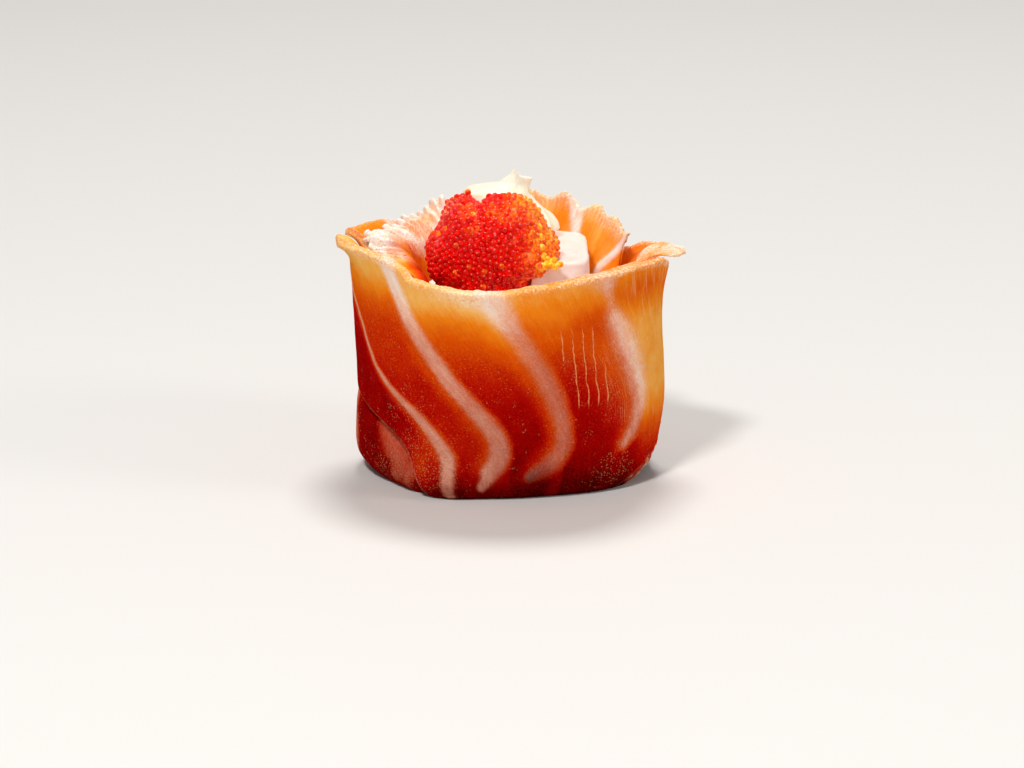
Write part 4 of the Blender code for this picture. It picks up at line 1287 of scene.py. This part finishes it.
def cream_material():
    p = Paint("cream_ivory")
    place = p.place()
    cloud = p.noise(place, 3.0, 2.0, 0.5)
    sep = p.tree.nodes.new("ShaderNodeSeparateXYZ")
    p.link(place, sep.inputs[0])
    up = p.fit(p.math("MULTIPLY_ADD", p.math("SUBTRACT", cloud, 0.5), 4.0, sep.outputs[2]), 34.0, 42.5)
    base = p.ramp(up, ((0.0, colour(239, 229, 204)), (0.5, colour(238, 229, 200)), (0.8, colour(237, 230, 204)), (1.0, colour(236, 232, 215))))
    fine = p.noise(place, 0.25, 3.0, 0.6)
    soft = p.noise(place, 1.1, 2.0, 0.5)
    pits = p.fit(p.cells(place, 0.5), 0.22, 0.05)
    few = p.fit(p.noise(place, 1.5, 1.0, 0.5), 0.55, 0.7)
    relief = p.math("ADD", p.math("MULTIPLY", fine, 0.2), p.math("MULTIPLY", soft, 0.4))
    relief = p.math("SUBTRACT", relief, p.math("MULTIPLY", p.math("MULTIPLY", pits, few), 0.5))
    normal = p.bump(relief, 0.07, 0.6)
    b = p.bsdf.inputs
    b["IOR"].default_value = 1.42
    b["Specular IOR Level"].default_value = 0.25
    b["Subsurface Weight"].default_value = 0.4
    b["Subsurface Radius"].default_value = (1.0, 0.75, 0.45)
    b["Subsurface Scale"].default_value = 0.9 * MM
    b["Coat Weight"].default_value = 0.15
    b["Coat Roughness"].default_value = 0.2
    return p.set(Base_Color=base, Roughness=p.fit(soft, 0.3, 0.7, 0.36, 0.48), Normal=normal)


def make_cream():
    columns = 400
    a = np.linspace(-180.0, 180.0, columns, endpoint=False)
    counts = (8, 8, 8, 9, 9, 9, 9, 9, 10, 13, 14)

    def line(stations, passes):
        p = np.array(stations)[None]
        return rounded(np.dstack([p, p[:, :, :1]]), counts, passes)[0][:, :2].T

    (lz, lr), (rz, rr), (fz, fr) = line(CREAM_LEFT, 5), line(CREAM_RIGHT, 4), line(CREAM_FIN, 1)
    A = a[:, None] + 0 * lz[None]
    left = smooth(-np.sin(np.radians(A)), -0.9, 0.9)
    z, r = rz + (lz - rz) * left, rr + (lr - rr) * left
    up = (lz[None] - 33.45) / 10.1 + 0 * A
    # rounded ridges with narrow valleys, as a star nozzle leaves them, turning as they rise
    phase = CREAM_RIDGES * np.radians(A - CREAM_TWIST * up)
    ridge = 1.0 - 2.0 * np.abs(np.sin(0.5 * phase)) ** 1.4
    depth = 0.085 * smooth(up, 0.0, 0.15) * (1 - smooth(up, 0.60, 0.88))
    r = r * (1.0 + depth * ridge)
    torn = np.exp(-((np.abs(wrap(A - 94.0)) / 24.0) ** 4))
    tip = smooth(lz, 37.5, 39.6)[None] * torn
    r = r * (1 - tip) + fr[None] * tip
    z = z * (1 - tip) + fz[None] * tip
    # drag lines where the nozzle pulled away
    drag = np.sin(26.0 * np.radians(A) + 3.0 * up) * smooth(up, 0.55, 0.75) * (1 - smooth(up, 0.93, 1.0))
    r = r + 0.045 * drag * smooth(r, 0.4, 1.4)
    z = z + 0.05 * np.sin(2 * np.pi * r / 0.55) * tip * smooth(r, 0.5, 1.0)
    r = r * (1.0 + 0.02 * layered(A / 34.0, z / 2.2, 0.0, 93, 3) * smooth(up, 0.02, 0.1))
    t = np.radians(A)
    x, y = r * np.sin(t), -r * np.cos(t)
    y = np.where(y < 0, y * CREAM_FRONT, y)
    # the fin is a thin sheet
    y = y * (1 - 0.45 * smooth(z, 39.8, 41.2) * smooth(x, 0.2, 1.2))
    x = x + 0.28 * smooth(z, 41.6, 43.4) * (1 - tip)
    grid = np.stack([CREAM_AXIS[0] + x, CREAM_AXIS[1] + y, z], axis=-1)
    grid[:, 0] = grid[:, 0].mean(axis=0)
    grid[:, -1] = grid[:, -1].mean(axis=0)
    closed_lump("cream_dollop", grid, {}, cream_material(), "cream")


# ================================================================= roe
EGG = 0.46  # radius of an egg


def heap_outline(a):
    """The heap's outline seen from the front, by angle from the right (90 is up): a bulge either side of a notch near
    the top left, an overhang on the right and, under it, a hollow where the filling shows."""
    undercut = smooth(-a, 14.0, 21.0) * (1.0 - smooth(-a, 24.0, 118.0))
    left = 1.3 * bell(a, 128.0, 15.0) * smooth(a, 106.0, 116.0)
    right = 0.8 * bell(a, 58.0, 17.0) + 0.8 * bell(a, 8.0, 14.0)
    notch = 1.2 * bell(a, 104.0, 8.0) * (1.0 - smooth(a, 107.0, 113.0))
    side = 0.8 * bell(np.abs(a), 170.0, 12.0)
    return 9.0 + left + right + side - notch - 2.7 * undercut


def heap_radius(d):
    """Outer surface of the heap from its centre, for directions d (N,3)."""
    x, y, z = d[:, 0], d[:, 1], d[:, 2]
    outline = heap_outline(np.degrees(np.arctan2(z, x)))
    lumps = noise(x * 3.1, y * 3.1, z * 3.1, 94) + 0.6 * noise(x * 6.5, y * 6.5, z * 6.5, 98)
    return ROE_RADIUS + (outline - ROE_RADIUS) * (1.0 - y * y) ** 0.8 + 0.42 * lumps * (0.35 + 0.65 * y * y)


def heap_point(d, inset):
    r = heap_radius(d) - inset
    p = np.stack([d[:, 0] * r, d[:, 1] * r * np.where(d[:, 1] > 0, ROE_BACK / ROE_RADIUS, 1.0), d[:, 2] * r], axis=-1)
    return p + np.array(ROE_CENTRE)


def scatter_eggs(count, inset, seed, passes=36):
    """Eggs pushed apart over the heap until they lie evenly, as loose eggs settle, some standing a little proud. Returns their centres and which way is out."""
    rng = np.random.default_rng(seed)
    d = rng.normal(size=(count, 3))
    d /= np.linalg.norm(d, axis=1, keepdims=True)
    for _ in range(passes):
        p = heap_point(d, inset)
        v = p[:, None] - p[None]
        far = np.sqrt((v**2).sum(-1)) + np.eye(count) * 9.0
        push = np.maximum(2.05 * EGG - far, 0.0) / far
        p = p + 0.35 * (v * push[..., None]).sum(1)
        q = p - np.array(ROE_CENTRE)
        q[:, 1] = np.where(q[:, 1] > 0, q[:, 1] * ROE_RADIUS / ROE_BACK, q[:, 1])
        d = q / np.linalg.norm(q, axis=1, keepdims=True)
    return heap_point(d, inset + rng.uniform(-0.10, 0.30, count)), d


def loose_eggs():
    """A few eggs apart from the heap: one on top of its left bulge, and a small group on the pale flesh to its right."""
    spots = [(-5.65, -5.2, 42.15), (-5.45, -5.9, 41.45), (-6.35, -5.9, 41.5)]
    for k in range(13):
        turn, way = 2.4 * k, 0.50 * math.sqrt(k + 0.3)
        spots.append((5.95 + 1.05 * way * math.cos(turn), -12.6 + 0.9 * way * math.sin(turn), 33.25 + 0.55 * (k % 3 == 0) * (k < 9)))
    return np.array(spots)


def ball(n):
    """A cube blown up into a ball, n by n quads a side: points (unit radius) and quads."""
    g = np.tan(np.linspace(-1, 1, n + 1) * math.pi / 4)
    points, quads, index = [], [], {}

    def corner(p):
        key = tuple(np.round(p, 5))
        if key not in index:
            index[key] = len(points)
            points.append(np.array(p) / np.linalg.norm(p))
        return index[key]

    for axis in range(3):
        for side in (-1.0, 1.0):
            for i in range(n):
                for j in range(n):
                    face = []
                    for di, dj in ((0, 0), (1, 0), (1, 1), (0, 1)):
                        p = [0.0, 0.0, 0.0]
                        p[axis], p[(axis + 1) % 3], p[(axis + 2) % 3] = side, g[i + di], g[j + dj]
                        face.append(corner(p))
                    quads.append(face if side > 0 else face[::-1])
    return np.array(points), np.array(quads)


def egg_material(name, cap, rim, glow):
    """A translucent egg: deep colour in its middle, painted lighter round its edge as painted light gathering through
    it, and a small painted highlight on its upper side.
    """
    p = Paint(name)
    tint, lid, inner = p.attribute("tint"), p.attribute("lid"), p.attribute("inner", "Vector")
    uneven = p.math("MULTIPLY_ADD", p.math("SUBTRACT", p.noise(inner, 0.9, 2.0, 0.5), 0.5), 0.55, lid)
    middle = p.ramp(tint, cap)
    edge = p.ramp(tint, rim)
    base = p.mix(p.fit(uneven, 0.30, 0.78), edge, middle)
    # painted highlight: a small pale spot in the glow colour on each egg's upper side
    glint_spot = p.fit(p.attribute("glint_spot"), 0.945, 0.985)
    base = p.mix(p.math("MULTIPLY", glint_spot, 0.85), base, glow)
    cloud = p.noise(p.place(), 0.5, 2.0, 0.5)
    b = p.bsdf.inputs
    b["IOR"].default_value = 1.36
    b["Specular IOR Level"].default_value = 0.0
    b["Subsurface Weight"].default_value = 1.0
    b["Subsurface Radius"].default_value = (1.0, 0.35, 0.15)
    b["Subsurface Scale"].default_value = 0.35 * MM
    b["Coat Weight"].default_value = 0.75
    b["Coat Roughness"].default_value = 0.045
    b["Coat IOR"].default_value = 1.5
    # painted glow: the eggs give off a little light where they touch, standing in for light that has come through the
    # heap
    gathered = p.math("MULTIPLY", p.fit(uneven, 0.60, 0.15), 0.16)
    p.link(edge, b["Emission Color"])
    p.link(gathered, b["Emission Strength"])
    return p.set(Base_Color=base, Roughness=p.fit(cloud, 0.3, 0.7, 0.14, 0.26), Normal=p.bump(cloud, 0.012, 0.5))


def egg_piece(name, centres, outward, tints, seed, sides, material):
    rng = np.random.default_rng(seed)
    unit, quads = ball(sides)
    n = len(centres)
    size = EGG * rng.uniform(0.88, 1.12, n)
    squash = 1.0 + rng.uniform(-0.07, 0.07, (n, 3))
    spin = rng.normal(size=(n, 4))
    spin /= np.linalg.norm(spin, axis=1, keepdims=True)
    qw, qx, qy, qz = spin.T
    turn = np.stack([
        np.stack([1 - 2 * (qy**2 + qz**2), 2 * (qx * qy - qz * qw), 2 * (qx * qz + qy * qw)], -1),
        np.stack([2 * (qx * qy + qz * qw), 1 - 2 * (qx**2 + qz**2), 2 * (qy * qz - qx * qw)], -1),
        np.stack([2 * (qx * qz - qy * qw), 2 * (qy * qz + qx * qw), 1 - 2 * (qx**2 + qy**2)], -1),
    ], axis=1)
    way = np.einsum("nij,vj->nvi", turn, unit)
    points = np.einsum("nij,nvj->nvi", turn, unit[None] * squash[:, None] * size[:, None, None]) + centres[:, None]
    faces = (quads[None] + (np.arange(n) * len(unit))[:, None, None]).reshape(-1, 4)
    faces = facing_out(points.reshape(-1, 3) - centres.mean(0), faces)
    aim = outward + 0.30 * rng.normal(size=(n, 3))
    aim /= np.linalg.norm(aim, axis=1, keepdims=True)
    # where each egg's painted highlight sits: up, a little to the left and to the front
    glint_way = outward + np.array([-0.25, -0.1, 0.75]) + 0.22 * rng.normal(size=(n, 3))
    glint_way /= np.linalg.norm(glint_way, axis=1, keepdims=True)
    attributes = {
        "tint": np.repeat(tints, len(unit)),
        "inner": (unit[None] + 3.0 * (np.arange(n)[:, None, None] % 97)).reshape(-1, 3),
        "lid": np.clip((way * aim[:, None]).sum(-1), 0.0, 1.0).ravel(),
        "glint_spot": np.clip((way * glint_way[:, None]).sum(-1), 0.0, 1.0).ravel(),
    }
    ob = build(name, points.reshape(-1, 3), faces, attributes)
    ob.data.materials.append(material)
    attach(ob, "root")
    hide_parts("roe")
    return ob


# Colours of each kind of egg: deep in its middle (cap), and painted lighter round its edge (rim) as painted light
RED_CAP = ((0.0, colour(206, 0, 0)), (0.5, colour(214, 2, 0)), (1.0, colour(224, 20, 1)))
RED_RIM = ((0.0, colour(230, 2, 0)), (0.5, colour(238, 26, 4)), (1.0, colour(246, 80, 12)))
ORANGE_CAP = ((0.0, colour(218, 30, 2)), (0.5, colour(226, 56, 3)), (1.0, colour(236, 92, 5)))
ORANGE_RIM = ((0.0, colour(242, 90, 20)), (0.5, colour(246, 122, 24)), (1.0, colour(250, 154, 32)))
YELLOW_CAP = ((0.0, colour(240, 116, 6)), (0.5, colour(244, 140, 8)), (1.0, colour(248, 168, 14)))
YELLOW_RIM = ((0.0, colour(252, 166, 40)), (0.5, colour(252, 186, 46)), (1.0, colour(253, 206, 66)))


def roe_core_material():
    # painted light: the core is painted bright, lighter in its thin places, standing in for light that comes through
    # the heap between the eggs
    p = Paint("roe_core_red")
    place, warm = p.place(), p.attribute("warm")
    bubble = p.cells(place, 0.95)
    wash = p.math("MULTIPLY_ADD", p.math("SUBTRACT", p.noise(place, 1.2, 2.0, 0.5), 0.5), 0.5, warm)
    thick = p.ramp(wash, ((0.0, colour(232, 12, 6)), (0.45, colour(244, 60, 14)), (1.0, colour(252, 150, 30))))
    thin = p.ramp(wash, ((0.0, colour(244, 36, 18)), (0.45, colour(252, 110, 44)), (1.0, colour(254, 196, 80))))
    base = p.mix(p.fit(bubble, 0.2, 0.6), thick, thin)
    b = p.bsdf.inputs
    b["Specular IOR Level"].default_value = 0.25
    b["Subsurface Weight"].default_value = 0.6
    b["Subsurface Radius"].default_value = (1.0, 0.3, 0.1)
    b["Subsurface Scale"].default_value = 0.8 * MM
    b["Coat Weight"].default_value = 0.3
    b["Coat Roughness"].default_value = 0.1
    # painted glow: the core gives off a little light of its thin colour
    p.link(thin, b["Emission Color"])
    b["Emission Strength"].default_value = 0.12
    return p.set(Base_Color=base, Roughness=p.fit(bubble, 0.1, 0.6, 0.2, 0.4), Normal=p.bump(p.fit(bubble, 0.0, 0.7, 1.0, 0.0), 0.3))


def warmth(p):
    """Red in the middle and lower left of the heap, orange to yellow on its right and along its top, partly painted
    light where light comes through the heap's edges.
    """
    x, y, z = p.T
    across = x + 0.35 * noise(y / 2.0, z / 2.2, 3.0, 99) + 1.6 * smooth(y, -5.0, 0.0) * (0.3 + noise(y / 1.6, z / 1.6, 5.0, 100))
    return (smooth(across, -0.6, 5.6) * 0.98 + 0.48 * smooth(z - 0.25 * np.abs(x + 5.5), 35.5, 40.5) * smooth(-y, 2.0, 7.0)
            + 0.40 * smooth(-x, 7.6, 10.6) * smooth(z, 33.0, 36.5) + 0.20 * noise(x / 1.9, y / 1.9, z / 1.9, 96))


def make_roe():
    # the core under the eggs
    columns, rows = 160, 90
    a = np.linspace(-180.0, 180.0, columns, endpoint=False)
    el = np.linspace(-0.5, 0.5, rows) * math.pi
    A, E = np.meshgrid(np.radians(a), el, indexing="ij")
    d = np.stack([np.sin(A) * np.cos(E), -np.cos(A) * np.cos(E), np.sin(E)], -1).reshape(-1, 3)
    p = heap_point(d, 0.82 + 0.2 * noise(d[:, 0] * 9, d[:, 1] * 9, d[:, 2] * 9, 95))
    p[:, 2] = np.maximum(p[:, 2], ROE_FLOOR)
    warm = warmth(p).reshape(columns, rows)
    grid = p.reshape(columns, rows, 3)
    grid[:, 0] = grid[:, 0].mean(axis=0)
    grid[:, -1] = grid[:, -1].mean(axis=0)
    closed_lump("roe_core", grid, {"warm": warm}, roe_core_material(), "roe")

    outer, out = scatter_eggs(1320, EGG, 7)
    loose = loose_eggs()
    outer = np.concatenate([outer, loose])
    out = np.concatenate([out, np.repeat([[0.1, -0.75, 0.65]], len(loose), axis=0)])
    keep = outer[:, 2] > ROE_FLOOR + 0.3
    outer, out = outer[keep], out[keep]
    x, y, z = outer.T
    warm = warmth(outer)
    pick = chance(np.round(x * 50), np.round(y * 50), np.round(z * 50), 97)
    warm = warm + 0.6 * (pick > 0.955) - 0.18 * (pick < 0.22) + 0.7 * ((x > 4.6) & (y < -11.0)) + 0.5 * ((z > 41.9) & (x < -5.5))
    # each kind: name, lowest and highest warmth, middle colours, edge colours and the colour of its painted highlight
    kinds = (
        ("roe_red_eggs", -9.0, 0.42, RED_CAP, RED_RIM, colour(255, 170, 140)),
        ("roe_orange_eggs", 0.42, 1.06, ORANGE_CAP, ORANGE_RIM, colour(255, 206, 140)),
        ("roe_yellow_eggs", 1.06, 9.0, YELLOW_CAP, YELLOW_RIM, colour(255, 236, 160)),
    )
    for n, (name, low, high, cap, rim, glow) in enumerate(kinds):
        chosen = (warm >= low) & (warm < high)
        tints = np.clip((warm[chosen] - max(low, 0.0)) / 0.5, 0.0, 1.0)
        egg_piece(name, outer[chosen], out[chosen], tints, 60 + n, 4, egg_material(name + "_skin", cap, rim, glow))


# ================================================================= stage, light and camera
def make_stage():
    mesh = bpy.data.meshes.new("studio_floor")
    half = 2.5
    mesh.from_pydata([(-half, -half, 0), (half, -half, 0), (half, half, 0), (-half, half, 0)], [], [(0, 1, 2, 3)])
    floor = bpy.data.objects.new("studio_floor", mesh)
    bpy.context.scene.collection.objects.link(floor)
    floor.location.z = -0.0001
    p = Paint("studio_floor_pale")
    b = p.bsdf.inputs
    b["Base Color"].default_value = (0.66, 0.65, 0.635, 1.0)
    b["Roughness"].default_value = 0.6
    b["Specular IOR Level"].default_value = 0.2
    mesh.materials.append(p.mat)

    world = bpy.data.worlds.new("studio")
    bpy.context.scene.world = world
    world.use_nodes = True
    back = world.node_tree.nodes["Background"]
    back.inputs["Color"].default_value = (1.0, 0.985, 0.97, 1.0)
    back.inputs["Strength"].default_value = 0.24

    def lamp(name, place, aim, size, power, tint=(1.0, 0.98, 0.95)):
        light = bpy.data.lights.new(name, "AREA")
        light.shape = "DISK"
        light.size = size
        light.energy = power
        light.color = tint
        ob = bpy.data.objects.new(name, light)
        bpy.context.scene.collection.objects.link(ob)
        ob.location = place
        ob.rotation_euler = (Vector(aim) - Vector(place)).to_track_quat("-Z", "Y").to_euler()

    lamp("key_softbox", (-0.18, -0.42, 0.62), (0, 0, 0.02), 0.11, 3.6)
    lamp("top_softbox", (0.05, 0.50, 1.25), (0, 0.1, 0.0), 0.38, 12.4)
    lamp("right_fill", (0.55, -0.20, 0.30), (0, 0, 0.02), 0.20, 0.9)

    camera = bpy.data.cameras.new("camera")
    camera.lens = 105.0
    camera.sensor_width = 36.0
    camera.clip_start = 0.01
    camera.clip_end = 20.0
    ob = bpy.data.objects.new("camera", camera)
    bpy.context.scene.collection.objects.link(ob)
    ob.location = (0.0006, -0.4217, 0.1256)
    ob.rotation_euler = (math.radians(75.0), 0.0, 0.0)
    bpy.context.scene.camera = ob
    bpy.context.scene.view_settings.view_transform = "Standard"


make_front()
make_back()
make_inner()
make_filling()
make_cream()
make_roe()
make_stage()

bpy.context.view_layer.update()
